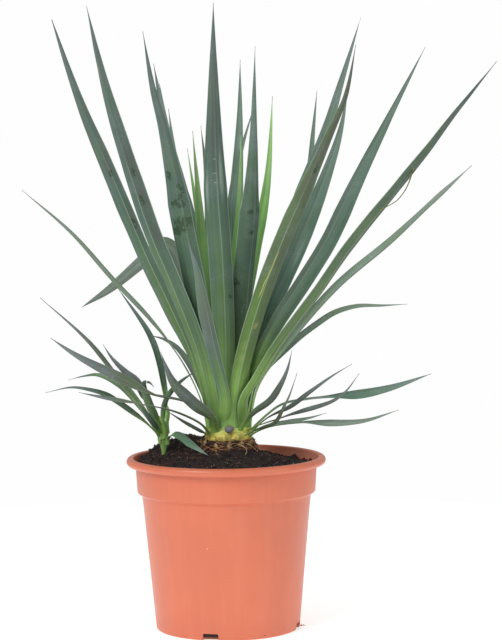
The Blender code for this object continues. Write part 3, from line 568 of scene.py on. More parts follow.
def distance(name, description, millimetres):
    """A length setting, kept in metres."""
    return FloatProperty(name=name, description=description, default=millimetres * MM,
                         subtype="DISTANCE", unit="LENGTH", min=0.0)


class YuccaPotSettings(bpy.types.PropertyGroup):
    """Colours and finish of the pot."""
    plastic: colour("Plastic", "The pot's moulded plastic", 0.815, 0.435, 0.315)
    scuff: colour("Scuffs", "Pale scuffs on the plastic", 0.93, 0.74, 0.66)
    # Grime also stands for painted shade on the pot's inner wall and the inside of its lip
    grime_and_shade: colour("Grime", "Soil that has dried on the plastic", 0.42, 0.26, 0.19)
    roughness: share_of("Roughness", "How matt the plastic is", 0.36)


class YuccaSoilSettings(bpy.types.PropertyGroup):
    """Colours and sizes of the soil."""
    peat: colour("Peat", "Dry crumbs of the soil", 0.175, 0.135, 0.135)
    wet_peat: colour("Damp peat", "Damp hollows of the soil", 0.025, 0.02, 0.024)
    fibre: colour("Fibres", "Fine roots and fibres in the soil", 0.52, 0.39, 0.27)
    flake: colour("Flakes", "Pale flakes in the soil", 0.78, 0.72, 0.62)
    crumb: distance("Crumb", "Width of a small crumb", 1.7)
    clod: distance("Clod", "Width of a large crumb", 3.6)
    crumbs: IntProperty(name="Crumbs", description="Small crumbs to a square metre", min=0,
                        default=90000)
    clods: IntProperty(name="Clods", description="Large crumbs to a square metre", min=0,
                       default=15000)


class YuccaCrownSettings(bpy.types.PropertyGroup):
    """Colours of the crown, its husk and its roots."""
    flesh: colour("Flesh", "The crown's yellow-green flesh", 0.96, 0.88, 0.44)
    flesh_dark: colour("Old flesh", "Brown and green parts of the crown", 0.56, 0.55, 0.22)
    stub: colour("Stub", "The dried cut end at the front", 0.43, 0.43, 0.45)
    husk: colour("Husk", "Dry husk and roots", 0.76, 0.56, 0.37)
    husk_dark: colour("Old husk", "Shaded and decayed husk", 0.12, 0.07, 0.045)
    bark: colour("Inner husk", "The brown skin under the husk's strands", 0.22, 0.12, 0.08)
    root: colour("Young root", "The cream young root", 0.74, 0.62, 0.45)


class YuccaLeafSettings(bpy.types.PropertyGroup):
    """Colours of the leaves, from the foot of a blade to its tip."""
    foot: colour("Foot", "The pale green foot of a main leaf", 0.62, 0.81, 0.41)
    core: colour("Core", "The green core of a blade", 0.345, 0.50, 0.165)
    stain: colour("Stain", "Purple-brown stains on a blade", 0.37, 0.36, 0.33)
    margin: colour("Margin", "The pale edge of a blade", 0.66, 0.74, 0.66)
    bloom: colour("Bloom", "The waxy bloom on a blade", 0.58, 0.65, 0.64)
    rubbed: colour("Rubbed", "Where the bloom is rubbed away", 0.13, 0.25, 0.12)
    yellow: colour("Yellow", "Yellowed streaks", 0.66, 0.66, 0.34)
    dry: colour("Dry tip", "The dried end of a blade", 0.42, 0.33, 0.27)
    roughness: share_of("Roughness", "How matt the blades are", 0.46)
    broad_stations: IntProperty(name="Broad stations", description="Sections along a broad leaf",
                                default=84, min=8)
    narrow_stations: IntProperty(name="Narrow stations", description="Sections along a narrow leaf",
                                 default=60, min=8)
    ripple: distance("Ripple", "How far a broad blade's edges wave", 0.9)


# Each leaf finish: the colours of its lower part, middle and upper part, as a screen shows them
TINTS = {
    "blue": ((0.365, 0.505, 0.325), (0.32, 0.44, 0.385), (0.41, 0.48, 0.46)),
    "grey": ((0.38, 0.48, 0.32), (0.40, 0.48, 0.41), (0.46, 0.52, 0.47)),
    "dark": ((0.25, 0.35, 0.20), (0.25, 0.36, 0.29), (0.38, 0.46, 0.43)),
    "olive": ((0.35, 0.48, 0.20), (0.33, 0.41, 0.29), (0.39, 0.43, 0.36)),
    "teal": ((0.29, 0.41, 0.27), (0.33, 0.46, 0.39), (0.42, 0.51, 0.46)),
    "green": ((0.41, 0.55, 0.27), (0.335, 0.455, 0.33), (0.375, 0.455, 0.42)),
    "slate": ((0.36, 0.45, 0.22), (0.29, 0.33, 0.31), (0.42, 0.46, 0.46)),
    "young": ((0.37, 0.57, 0.29), (0.50, 0.72, 0.36), (0.58, 0.76, 0.45)),
}
TINT_PARTS = (("_low", "lower part"), ("", "middle"), ("_tip", "upper part"))
for tint, shown_parts in TINTS.items():
    for (ending, part), shown in zip(TINT_PARTS, shown_parts):
        YuccaLeafSettings.__annotations__[tint + ending] = colour(
            f"{tint.capitalize()}, {part}", f"The {part} of the {tint} leaves", *shown)


class YuccaStageSettings(bpy.types.PropertyGroup):
    """The floor, the light and the camera."""
    backdrop: share_of("Backdrop", "How white the backdrop is", 0.99)
    ambient: share_of("Surround", "Brightness of the soft light from all round", 0.56)
    key_power: FloatProperty(name="Key light", description="Power of the large soft light",
                             default=40.0, min=0.0, unit="POWER")
    fill_power: FloatProperty(name="Fill light", description="Power of the light at the right",
                              default=9.0, min=0.0, unit="POWER")


# Small helpers

def settings(name):
    """One of the add-on's groups of settings."""
    return getattr(bpy.context.scene, "yucca_" + name)


def linear(shown):
    """A screen colour as the linear colour and alpha that nodes take."""
    parts = [c / 12.92 if c <= 0.04045 else ((c + 0.055) / 1.055) ** 2.4 for c in shown]
    return (*parts, 1.0)


def tinted(shown, factor):
    """A screen colour made darker or paler, as a linear colour and alpha."""
    return (*[min(1.0, part * factor) for part in linear(shown)[:3]], 1.0)


def metres(place):
    """A place or a size given in millimetres."""
    return tuple(part * MM for part in place)


def ease(value):
    """A smooth step from 0 to 1."""
    value = min(max(value, 0.0), 1.0)
    return value * value * (3 - 2 * value)


def profile_radius(profile, height):
    """The radius of a turned profile at a height."""
    for (r0, z0), (r1, z1) in zip(profile, profile[1:]):
        if z0 <= height <= z1:
            return r0 + (r1 - r0) * (height - z0) / (z1 - z0)
    return profile[0][0] if height < profile[0][1] else 0.0


def soil_height(x, y):
    """The height of the soil's top at a place, as in the CAD."""
    height = SOIL_LEVEL
    for mound_x, mound_y, rise, spread in SOIL_MOUNDS:
        away = (x - mound_x) ** 2 + (y - mound_y) ** 2
        height += rise * math.exp(-away / (2 * spread ** 2))
    for rise, waves_x, waves_y, phase in SOIL_LUMPS:
        height += rise * math.sin(waves_x * x + waves_y * y + phase)
    return height


def circle(radius, height, count, x=0.0, y=0.0):
    """Points round a level circle."""
    turns = [2 * math.pi * i / count for i in range(count)]
    return [(x + radius * math.cos(t), y + radius * math.sin(t), height) for t in turns]


def arc(centre, radius, start, end, steps):
    """Points of an arc in a profile's plane, with angles in degrees."""
    points = []
    for i in range(steps + 1):
        t = math.radians(start + (end - start) * i / steps)
        points.append((centre[0] + radius * math.cos(t), centre[1] + radius * math.sin(t)))
    return points


def link_object(name, data):
    """Put a mesh, a lamp or a camera in the scene as an object at the origin."""
    thing = bpy.data.objects.new(name, data)
    bpy.context.scene.collection.objects.link(thing)
    return thing


def mesh_from_rings(name, rings):
    """A closed mesh through rings of points in millimetres, flat at its ends."""
    form = bmesh.new()
    rows = [[form.verts.new(Vector(point) * MM) for point in ring] for ring in rings]
    count = len(rings[0])
    for lower, upper in zip(rows, rows[1:]):
        for i in range(count):
            j = (i + 1) % count
            form.faces.new((lower[i], lower[j], upper[j], upper[i]))
    form.faces.new(list(reversed(rows[0])))
    form.faces.new(rows[-1])
    bmesh.ops.recalc_face_normals(form, faces=form.faces)
    mesh = bpy.data.meshes.new(name)
    form.to_mesh(mesh)
    form.free()
    return mesh


def plain_mesh(thing):
    """Turn an object's modifiers into its plain mesh."""
    bpy.context.view_layer.update()
    depsgraph = bpy.context.evaluated_depsgraph_get()
    evaluated = thing.evaluated_get(depsgraph)
    made = bpy.data.meshes.new_from_object(evaluated, preserve_all_data_layers=True,
                                           depsgraph=depsgraph)
    thing.modifiers.clear()
    thing.data = made
    made.name = thing.name
    return thing


def face_outwards(thing):
    """Point every face of a closed mesh outwards."""
    form = bmesh.new()
    form.from_mesh(thing.data)
    bmesh.ops.recalc_face_normals(form, faces=form.faces)
    form.to_mesh(thing.data)
    form.free()


def finish_piece(piece, slot, *nodes):
    """Attach a finished piece to the body and hide the CAD nodes that it stands for."""
    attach(piece, BODY)
    if nodes:
        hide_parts(*nodes)


def finish_form(mesh, finish, slot, *nodes):
    """Put a made mesh in the scene with its finish and attach it to the body."""
    mesh.materials.append(finish)
    finish_piece(link_object(mesh.name, mesh), slot, *nodes)


# Node trees

def node(tree, kind, inputs=None, **options):
    """Add a node, set its options, and fill its inputs with sockets or values."""
    made = tree.nodes.new(kind)
    for option, value in options.items():
        setattr(made, option, value)
    for key, value in (inputs or {}).items():
        socket = made.inputs[key]
        if isinstance(value, bpy.types.NodeSocket):
            tree.links.new(value, socket)
        else:
            socket.default_value = value
    return made


def maths(tree, operation, first, second=0.0, third=0.0):
    """The result of a maths node."""
    return node(tree, "ShaderNodeMath", {0: first, 1: second, 2: third},
                operation=operation).outputs[0]


def plus(tree, first, second):
    """Two values added."""
    return maths(tree, "ADD", first, second)


def minus(tree, first, second):
    """One value less another."""
    return maths(tree, "SUBTRACT", first, second)


def product(tree, *values):
    """Values times one another."""
    total = values[0]
    for value in values[1:]:
        total = maths(tree, "MULTIPLY", total, value)
    return total


def vectors(tree, operation, first, second):
    """The result of a vector maths node."""
    return node(tree, "ShaderNodeVectorMath", {0: first, 1: second}, operation=operation).outputs[0]


def stretched(tree, vector, factors):
    """A vector with each part times its own factor."""
    return vectors(tree, "MULTIPLY", vector, factors)


def joined(tree, first, second=0.0, third=0.0):
    """A vector of its three parts."""
    return node(tree, "ShaderNodeCombineXYZ", {0: first, 1: second, 2: third}).outputs[0]


def scaled(tree, vector, factor):
    """A vector times a number."""
    return node(tree, "ShaderNodeVectorMath", {0: vector, "Scale": factor},
                operation="SCALE").outputs[0]


def blended(tree, factor, first, second):
    """Two colours mixed."""
    return node(tree, "ShaderNodeMix", {0: factor, 6: first, 7: second}, data_type="RGBA",
                clamp_factor=True).outputs[2]


def spread(tree, value, low, high, start=0.0, end=1.0, smooth=True):
    """A value's range from low to high turned into start to end."""
    inputs = {"Value": value, "From Min": low, "From Max": high, "To Min": start, "To Max": end}
    way = "SMOOTHSTEP" if smooth else "LINEAR"
    return node(tree, "ShaderNodeMapRange", inputs, interpolation_type=way).outputs[0]


def within(tree, length, limits):
    """How far a length has come from one limit to the other, both given in millimetres."""
    return spread(tree, length, limits[0] * MM, limits[1] * MM)


def speckle(tree, vector, scale, detail=2.0, rough=0.5):
    """The value of a noise texture."""
    inputs = {"Vector": vector, "Scale": scale, "Detail": detail, "Roughness": rough}
    return node(tree, "ShaderNodeTexNoise", inputs).outputs["Fac"]


def wobble(tree, vector, scale, reach):
    """Noise that strays to both sides of nothing, by half its reach."""
    return product(tree, minus(tree, speckle(tree, vector, scale), 0.5), reach)


def far_from(tree, place, centre=(0.0, 0.0, 0.0)):
    """How far a place is from a centre."""
    return node(tree, "ShaderNodeVectorMath", {0: place, 1: centre},
                operation="DISTANCE").outputs["Value"]


def parts_of(tree, vector):
    """The three parts of a vector."""
    return node(tree, "ShaderNodeSeparateXYZ", {0: vector}).outputs


def stored_parts(tree, name):
    """The three parts of a vector that the mesh stores by name."""
    return parts_of(tree, node(tree, "ShaderNodeAttribute", attribute_name=name).outputs["Vector"])


VECTOR = "NodeSocketVector"
FLOAT = "NodeSocketFloat"
WHOLE = "NodeSocketInt"
GEOMETRY = "NodeSocketGeometry"


def new_tree(kind, name, inputs, outputs):
    """An empty node group with named sockets: the tree, its inputs and its output node."""
    tree = bpy.data.node_groups.new(name, kind)
    for label, socket_kind, value in inputs:
        socket = tree.interface.new_socket(name=label, in_out="INPUT", socket_type=socket_kind)
        if value is not None:
            socket.default_value = value
    for label, socket_kind in outputs:
        tree.interface.new_socket(name=label, in_out="OUTPUT", socket_type=socket_kind)
    source = tree.nodes.new("NodeGroupInput")
    return tree, source.outputs, tree.nodes.new("NodeGroupOutput")


def effect(tree, name, inputs):
    """Place a shader node group in a material with its own values."""
    return node(tree, "ShaderNodeGroup", inputs, node_tree=bpy.data.node_groups[name]).outputs


def build_patches():
    """Patches: soft clouds with a set share of cover."""
    tree, given, result = new_tree(
        "ShaderNodeTree", "patches",
        (("Place", VECTOR, None), ("Scale", FLOAT, 20.0), ("Detail", FLOAT, 3.0),
         ("Low", FLOAT, 0.4), ("High", FLOAT, 0.7)),
        (("Mask", FLOAT), ("Noise", FLOAT)))
    cloud = speckle(tree, given["Place"], given["Scale"], given["Detail"], 0.6)
    tree.links.new(spread(tree, cloud, given["Low"], given["High"]), result.inputs["Mask"])
    tree.links.new(cloud, result.inputs["Noise"])


def build_veins():
    """Veins: lines that run along a blade or a strand, closing up where it narrows."""
    tree, given, result = new_tree(
        "ShaderNodeTree", "veins",
        (("Across", FLOAT, 0.0), ("Along", FLOAT, 0.0), ("Seed", FLOAT, 0.0),
         ("Fine", FLOAT, 26.0), ("Broad", FLOAT, 4.0)),
        (("Fine", FLOAT), ("Broad", FLOAT)))
    for label, drift in (("Fine", 3.0), ("Broad", 1.2)):
        lines = joined(tree, product(tree, given["Across"], given[label]),
                       product(tree, given["Along"], drift), given["Seed"])
        tree.links.new(speckle(tree, lines, 1.0, 2.0, 0.6), result.inputs[label])


def build_spot():
    """Spot: a soft oval mark at one place."""
    tree, given, result = new_tree(
        "ShaderNodeTree", "spot",
        (("Place", VECTOR, None), ("Centre", VECTOR, (0.0, 0.0, 0.0)),
         ("Reach", VECTOR, (0.01, 0.01, 0.01))),
        (("Mask", FLOAT),))
    apart = vectors(tree, "SUBTRACT", given["Place"], given["Centre"])
    apart = vectors(tree, "DIVIDE", apart, given["Reach"])
    tree.links.new(spread(tree, far_from(tree, apart), 1.0, 0.3), result.inputs["Mask"])


def build_effects():
    """The effects that more than one material uses."""
    build_patches()
    build_veins()
    build_spot()


def patches(tree, place, scale, low, high):
    """Soft clouds as a mask and as their plain noise."""
    return effect(tree, "patches", {"Place": place, "Scale": scale, "Low": low, "High": high})


def spot_mask(tree, place, centre, reach):
    """A soft oval mark at a place on the object, given in millimetres."""
    inputs = {"Place": place, "Centre": metres(centre), "Reach": metres(reach)}
    return effect(tree, "spot", inputs)["Mask"]


def new_material(name):
    """A material's tree and its shader."""
    made = bpy.data.materials.new(name)
    made.use_nodes = True
    tree = made.node_tree
    return made, tree, tree.nodes["Principled BSDF"]


def object_place(tree):
    """The place on the object."""
    return node(tree, "ShaderNodeTexCoord").outputs["Object"]


def bump(tree, shader, height, strength, depth):
    """Feed a height to the shader's normal, with its depth in millimetres."""
    inputs = {"Height": height, "Strength": strength, "Distance": depth * MM}
    tree.links.new(node(tree, "ShaderNodeBump", inputs).outputs[0], shader.inputs["Normal"])


def pot_dirt_and_shade(tree, place, height):
    """Where the pot is darkened: dried soil at its foot, and painted shade inside its lip and on its inner
    wall.
    """
    far = far_from(tree, stretched(tree, place, LEVEL))
    skin = maths(tree, "MULTIPLY_ADD", height, SKIN_SLOPE, SKIN_RADIUS * MM)
    inside = within(tree, minus(tree, skin, far), SKIN_DEPTH)
    inside = product(tree, inside, within(tree, height, SHADE_INSIDE_ABOVE))
    lip = product(tree, within(tree, far, SHADE_LIP_RADIUS), within(tree, height, SHADE_LIP_ABOVE),
                  within(tree, height, SHADE_LIP_BELOW))
    # Painted shade on the inner wall and the inside of the lip
    upper = product(tree, maths(tree, "MAXIMUM", inside, lip), 0.2)
    foot = product(tree, within(tree, height, DIRT_AT_FOOT), 0.15)
    dust = patches(tree, place, 55.0, 0.45, 0.75)
    return product(tree, maths(tree, "MAXIMUM", foot, upper), plus(tree, dust["Mask"], 0.35))


def plastic_material():
    """Moulded terracotta plastic with a fine texture, scuffs, a little dried soil, faint pale vertical
    streaks painted as highlights, and painted shade on its inner wall and lip.
    """
    look = settings("pot")
    scuff = linear(look.scuff)
    grime_and_shade = linear(look.grime_and_shade)
    made, tree, shader = new_material("pot_plastic_finish")
    place = object_place(tree)
    clouds = patches(tree, place, 14.0, 0.3, 0.7)
    shade = blended(tree, clouds["Mask"], tinted(look.plastic, 0.96), tinted(look.plastic, 1.04))
    # Faint pale vertical streaks in the scuff colour: painted highlights
    streaks = speckle(tree, stretched(tree, place, (90.0, 90.0, 6.0)), 1.0, 3.0, 0.6)
    shade = blended(tree, spread(tree, streaks, 0.35, 0.75, 0.0, 0.04), shade, scuff)
    # Dried soil at the foot, and painted shade on the inner wall and inside the lip
    dirt_and_shade = pot_dirt_and_shade(tree, place, parts_of(tree, place)["Z"])
    shade = blended(tree, product(tree, dirt_and_shade, 0.8), shade, grime_and_shade)
    scratches = patches(tree, stretched(tree, place, (1.0, 1.0, 3.0)), 130.0, 0.66, 0.72)
    for centre, reach in POT_SCUFFS:
        area = spot_mask(tree, place, centre, reach)
        shade = blended(tree, product(tree, area, scratches["Mask"], 0.7), shade, scuff)
    for mark, tint in ((POT_CRUMB, grime_and_shade), (POT_NICK, scuff)):
        shade = blended(tree, product(tree, spot_mask(tree, place, *mark), 0.9), shade, tint)
    tree.links.new(shade, shader.inputs["Base Color"])
    rough = spread(tree, clouds["Noise"], 0.3, 0.7, look.roughness - 0.04, look.roughness + 0.06)
    rough = plus(tree, rough, product(tree, dirt_and_shade, 0.3))
    tree.links.new(rough, shader.inputs["Roughness"])
    peel = plus(tree, speckle(tree, place, 900.0),
                product(tree, speckle(tree, place, 120.0), 1.5))
    bump(tree, shader, peel, 0.35, 0.06)
    return made


def peat_material(name, pale):
    """Crumbly peat, darker where it is damp. The crumbs on top are a little paler, partly as painted
    highlights.
    """
    look = settings("soil")
    made, tree, shader = new_material(name)
    place = object_place(tree)
    damp = patches(tree, place, 110.0, 0.38, 0.66)
    grains = patches(tree, place, 420.0, 0.35, 0.7)
    shade = blended(tree, damp["Mask"], linear(look.wet_peat), linear(look.peat))
    # Paler grains: partly the crumbs' own colour, partly painted highlights
    lighter = tinted(look.peat, pale)
    shade = blended(tree, product(tree, grains["Mask"], 0.95), shade, lighter)
    tree.links.new(shade, shader.inputs["Base Color"])
    tree.links.new(spread(tree, damp["Noise"], 0.3, 0.7, 0.75, 0.98), shader.inputs["Roughness"])
    shader.inputs["Specular IOR Level"].default_value = 0.3
    bump(tree, shader, speckle(tree, place, 700.0, 4.0, 0.7), 0.9, 0.6)
    return made


def fibrous_material(name, pale, dark, cover):
    """Dry husk, roots and fibres, streaked along their length."""
    made, tree, shader = new_material(name)
    place = object_place(tree)
    across, along, _ = stored_parts(tree, BLADE)
    veins = effect(tree, "veins", {"Across": across, "Along": product(tree, along, 4.0),
                                   "Fine": 5.0, "Broad": 2.0, "Seed": 3.0})
    clouds = patches(tree, place, 210.0, 0.5 - cover / 2, 0.9 - cover / 2)
    shade = blended(tree, clouds["Mask"], linear(dark), linear(pale))
    shade = blended(tree, spread(tree, veins["Fine"], 0.55, 0.7, 0.0, 0.5), shade, linear(dark))
    fine = patches(tree, place, 900.0, 0.35, 0.75)
    shade = blended(tree, product(tree, fine["Mask"], 0.3), shade, tinted(pale, 1.25))
    tree.links.new(shade, shader.inputs["Base Color"])
    tree.links.new(spread(tree, clouds["Noise"], 0.3, 0.7, 0.6, 0.9), shader.inputs["Roughness"])
    rough = plus(tree, veins["Fine"], speckle(tree, place, 500.0, 3.0, 0.6))
    bump(tree, shader, rough, 0.8, 0.4)
    return made


def crown_material():
    """Yellow-green flesh, turning at the foot to the husk's dark: old husk with painted shade."""
    look = settings("crown")
    made, tree, shader = new_material("crown_flesh_finish")
    place = object_place(tree)
    height = parts_of(tree, place)["Z"]
    clouds = patches(tree, place, 110.0, 0.32, 0.6)
    scars = speckle(tree, stretched(tree, place, (40.0, 40.0, 600.0)), 1.0, 3.0, 0.6)
    shade = blended(tree, clouds["Mask"], linear(look.flesh_dark), linear(look.flesh))
    shade = blended(tree, spread(tree, scars, 0.5, 0.72, 0.0, 0.45), shade, linear(look.flesh_dark))
    fringe = wobble(tree, stretched(tree, place, (150.0, 150.0, 20.0)), 1.0, 0.018)
    upper = within(tree, plus(tree, height, fringe), CROWN_GREEN)
    shade = blended(tree, upper, shade, linear(settings("leaves").foot))
    # Painted shade with old husk colour at the foot, where the husk meets the crown
    low = product(tree, within(tree, height, CROWN_BROWN), plus(tree, clouds["Noise"], 0.3))
    shade = blended(tree, low, shade, linear(look.husk_dark))
    tree.links.new(shade, shader.inputs["Base Color"])
    tree.links.new(spread(tree, clouds["Noise"], 0.3, 0.7, 0.42, 0.62), shader.inputs["Roughness"])
    bump(tree, shader, plus(tree, scars, clouds["Noise"]), 0.6, 0.5)
    return made


def stub_material():
    """The dried end of a cut shoot: grey with a pale grain and a darker ring."""
    look = settings("crown")
    made, tree, shader = new_material("stub_finish")
    place = object_place(tree)
    parts = parts_of(tree, place)
    flat = joined(tree, parts[0], 0.0, parts[2])
    far = far_from(tree, flat, metres((STUB_X, 0.0, STUB_HEIGHT)))
    grain = patches(tree, place, 500.0, 0.35, 0.7)
    shade = blended(tree, grain["Mask"], linear(look.stub), tinted(look.stub, 1.15))
    ring = product(tree, within(tree, far, STUB_RING), 0.3)
    shade = blended(tree, ring, shade, tinted(look.stub, 0.55))
    shade = blended(tree, within(tree, parts[1], STUB_BACK), shade, linear(look.flesh_dark))
    tree.links.new(shade, shader.inputs["Base Color"])
    shader.inputs["Roughness"].default_value = 0.75
    bump(tree, shader, grain["Noise"], 0.7, 0.4)
    return made


Blade = namedtuple("Blade", "place across along at side core marks stain tone foot veins worn")


def read_blade(tree):
    """What a blade's finish works from: places on it, its veins and what its mesh stores."""
    place = object_place(tree)
    across, along, _ = stored_parts(tree, BLADE)
    core = stored_parts(tree, "core")
    marks = stored_parts(tree, "marks")
    stain = stored_parts(tree, "stains")[0]
    tone, seed, foot = stored_parts(tree, "own")
    at = plus(tree, along, wobble(tree, place, 25.0, 0.12))
    side = minus(tree, across, core[0])
    veins = effect(tree, "veins", {"Across": across, "Along": along, "Seed": seed})
    jagged = patches(tree, place, 240.0, 0.3, 0.7)
    worn = product(tree, marks[0], plus(tree, jagged["Mask"], 0.35))
    worn = spread(tree, worn, 0.32, 0.56, 0.0, 0.88)
    return Blade(place, across, along, at, side, core, marks, stain, tone, foot, veins, worn)


def foot_to_tip(tree, look, tint, blade):
    """A blade's own colours from foot to tip, its green core and its pale foot."""
    low = linear(getattr(look, tint + "_low"))
    middle = linear(getattr(look, tint))
    end = linear(getattr(look, tint + "_tip"))
    shade = blended(tree, spread(tree, blade.at, *LOW_TO_MIDDLE), low, middle)
    shade = blended(tree, spread(tree, blade.at, *MIDDLE_TO_TIP), shade, end)
    inner = spread(tree, maths(tree, "ABSOLUTE", blade.side), *CORE_ACROSS)
    ends = spread(tree, minus(tree, blade.at, blade.core[1]), *CORE_FADES)
    shade = blended(tree, product(tree, inner, ends, blade.core[2]), shade, linear(look.core))
    foot_end = product(tree, blade.foot, plus(tree, blade.veins["Broad"], 0.6))
    pale_foot = spread(tree, maths(tree, "DIVIDE", blade.at, foot_end), 1.0, 0.15)
    return blended(tree, pale_foot, shade, linear(look.foot))


def clouded(tree, look, tint, blade, bloom, fleck, shade):
    """A blade's waxy bloom, and clouds of its lower colour."""
    waxy = product(tree, bloom["Mask"], plus(tree, fleck["Mask"], 0.3),
                   spread(tree, blade.along, 0.1, 0.4, 0.05, 0.3))
    shade = blended(tree, waxy, shade, linear(look.bloom))
    cloud = patches(tree, blade.place, 16.0, 0.42, 0.62)
    deep = product(tree, cloud["Mask"], spread(tree, blade.along, 0.95, 0.7), CLOUDS_SHOW)
    return blended(tree, deep, shade, linear(getattr(look, tint + "_low")))


def streaked(tree, look, blade, shade):
    """A blade's stains, its lighter and darker veins, its darker half, which is painted shade of the fold,
    and its own tone.
    """
    stained = product(tree, blade.stain, spread(tree, blade.veins["Broad"], 0.3, 0.6, 0.25, 0.65))
    shade = blended(tree, stained, shade, linear(look.stain))
    streak = spread(tree, blade.veins["Broad"], 0.3, 0.7, 0.86, 1.13, smooth=False)
    line = spread(tree, blade.veins["Fine"], 0.3, 0.7, 0.92, 1.07, smooth=False)
    # Painted shade: one half of the folded blade darker than the other
    half = spread(tree, blade.side, 0.12, 0.34, 1.07, 0.87)
    return scaled(tree, shade, product(tree, streak, line, blade.tone, half))


def edged(tree, look, blade, shade):
    """A blade's rubbed, yellowed and pale marks, its pale margins and the fold beside its core."""
    shade = blended(tree, blade.worn, shade, linear(look.rubbed))
    shade = blended(tree, product(tree, blade.marks[1], STREAK_SHOWS), shade, linear(look.yellow))
    shade = blended(tree, product(tree, blade.marks[2], FLECK_SHOWS), shade, linear(look.margin))
    edge = maths(tree, "ABSOLUTE", blade.across)
    edge = plus(tree, edge, wobble(tree, blade.place, 90.0, 0.05))
    margin = product(tree, spread(tree, edge, *MARGIN_ACROSS), spread(tree, blade.along, *MARGIN_FADES))
    fold = maths(tree, "ABSOLUTE", minus(tree, blade.side, FOLD_PLACE))
    fold = product(tree, spread(tree, fold, *FOLD_ACROSS), blade.core[2],
                   spread(tree, blade.along, *FOLD_FADES))
    return blended(tree, maths(tree, "MAXIMUM", margin, fold), shade, linear(look.margin))


def ticked(tree, look, blade, shade):
    """The short pale ticks across the tall front blade."""
    for right, high in TICKS:
        tick = spot_mask(tree, blade.place, (right, TICK_DEPTH, high), TICK_REACH)
        shade = blended(tree, product(tree, tick, TICK_SHOWS), shade, linear(look.margin))
    return shade


def cracked(tree, look, blade, shade):
    """The yellow line that crosses the olive blade of the front, which has the strongest core."""
    track = maths(tree, "MULTIPLY_ADD", blade.along, 3.0, -1.5)
    track = plus(tree, track, wobble(tree, blade.place, 70.0, 0.25))
    off = maths(tree, "ABSOLUTE", minus(tree, blade.across, track))
    crack = product(tree, spread(tree, off, *CRACK_ACROSS), spread(tree, blade.along, *CRACK_FROM),
                    spread(tree, blade.along, *CRACK_TO),
                    maths(tree, "GREATER_THAN", blade.core[2], 0.9))
    return blended(tree, crack, shade, linear(look.yellow))


def leaf_material(tint):
    """A blade's finish: its colour from foot to tip, veins, bloom, pale margins and dry end."""
    look = settings("leaves")
    made, tree, shader = new_material(f"leaf_{tint}_finish")
    blade = read_blade(tree)
    bloom = patches(tree, blade.place, 38.0, 0.42, 0.72)
    fleck = patches(tree, blade.place, 420.0, 0.3, 0.8)
    shade = foot_to_tip(tree, look, tint, blade)
    shade = clouded(tree, look, tint, blade, bloom, fleck, shade)
    shade = streaked(tree, look, blade, shade)
    shade = edged(tree, look, blade, shade)
    if tint == "blue":
        shade = ticked(tree, look, blade, shade)
    if tint == "olive":
        shade = cracked(tree, look, blade, shade)
    dry_from = plus(tree, blade.along, product(tree, blade.veins["Broad"], 0.012))
    shade = blended(tree, spread(tree, dry_from, *DRY_TIP), shade, linear(look.dry))
    tree.links.new(shade, shader.inputs["Base Color"])

    rough = plus(tree, look.roughness - 0.05, product(tree, bloom["Noise"], 0.2))
    rough = minus(tree, rough, product(tree, blade.worn, 0.12))
    tree.links.new(rough, shader.inputs["Roughness"])
    height = plus(tree, blade.veins["Fine"], product(tree, blade.veins["Broad"], 1.4))
    height = plus(tree, height, product(tree, fleck["Noise"], 0.12))
    bump(tree, shader, height, 0.55, 0.6)
    return made


# Paths with a section: leaves, roots, strands and threads

Station = namedtuple("Station", "place across over half body depth share run")
# Steps between two points of a route before it is divided evenly, and over how many of them to each
# side its direction is taken
ROUTE_STEPS = 40
DIRECTION_STEPS = 4


def smooth_route(points, steps):
    """Places and directions at even steps along a smooth curve through points."""
    knots = [0.0]
    for a, b in zip(points, points[1:]):
        knots.append(knots[-1] + (b - a).length ** 0.5)
    slopes = []
    last = len(points) - 1
    for i in range(last + 1):
        low = max(i - 1, 0)
        high = min(i + 1, last)
        if low == i or high == i:
            slopes.append((points[high] - points[low]) / (knots[high] - knots[low]))
            continue
        before = (points[i] - points[low]) / (knots[i] - knots[low])
        after = (points[high] - points[i]) / (knots[high] - knots[i])
        share = (knots[i] - knots[low]) / (knots[high] - knots[low])
        slopes.append(before * (1 - share) + after * share)

    def place_at(t):
        i = 0
        while i < last - 1 and t > knots[i + 1]:
            i += 1
        span = knots[i + 1] - knots[i]
        u = (t - knots[i]) / span
        a = points[i] * (2 * u ** 3 - 3 * u ** 2 + 1)
        b = slopes[i] * (span * (u ** 3 - 2 * u ** 2 + u))
        c = points[i + 1] * (3 * u ** 2 - 2 * u ** 3)
        d = slopes[i + 1] * (span * (u ** 3 - u ** 2))
        return a + b + c + d

    fine = ROUTE_STEPS * last
    places = [place_at(knots[-1] * k / fine) for k in range(fine + 1)]
    runs = [0.0]
    for a, b in zip(places, places[1:]):
        runs.append(runs[-1] + (b - a).length)
    stations = []
    k = 0
    for step in range(steps + 1):
        goal = runs[-1] * step / steps
        while k < fine - 1 and runs[k + 1] < goal:
            k += 1
        share = (goal - runs[k]) / (runs[k + 1] - runs[k])
        place = places[k].lerp(places[k + 1], min(max(share, 0.0), 1.0))
        before = places[max(k - DIRECTION_STEPS, 0)]
        after = places[min(k + 1 + DIRECTION_STEPS, fine)]
        stations.append((place, (after - before).normalized()))
    return stations, runs[-1]


def tree_inputs(modifier, values):
    """Set a Geometry Nodes modifier's inputs, each by its socket's identifier."""
    for item in modifier.node_group.interface.items_tree:
        if item.item_type == "SOCKET" and item.in_out == "INPUT" and item.name in values:
            modifier[item.identifier] = values[item.name]


def stored(tree, geometry, name, value, kind, domain="POINT"):
    """Geometry with a value stored on it by name."""
    return node(tree, "GeometryNodeStoreNamedAttribute",
                {"Geometry": geometry, "Name": name, "Value": value},
                data_type=kind, domain=domain).outputs[0]


def read(tree, name, kind="FLOAT"):
    """A value stored on the geometry by name."""
    return node(tree, "GeometryNodeInputNamedAttribute", {"Name": name}, data_type=kind).outputs[0]


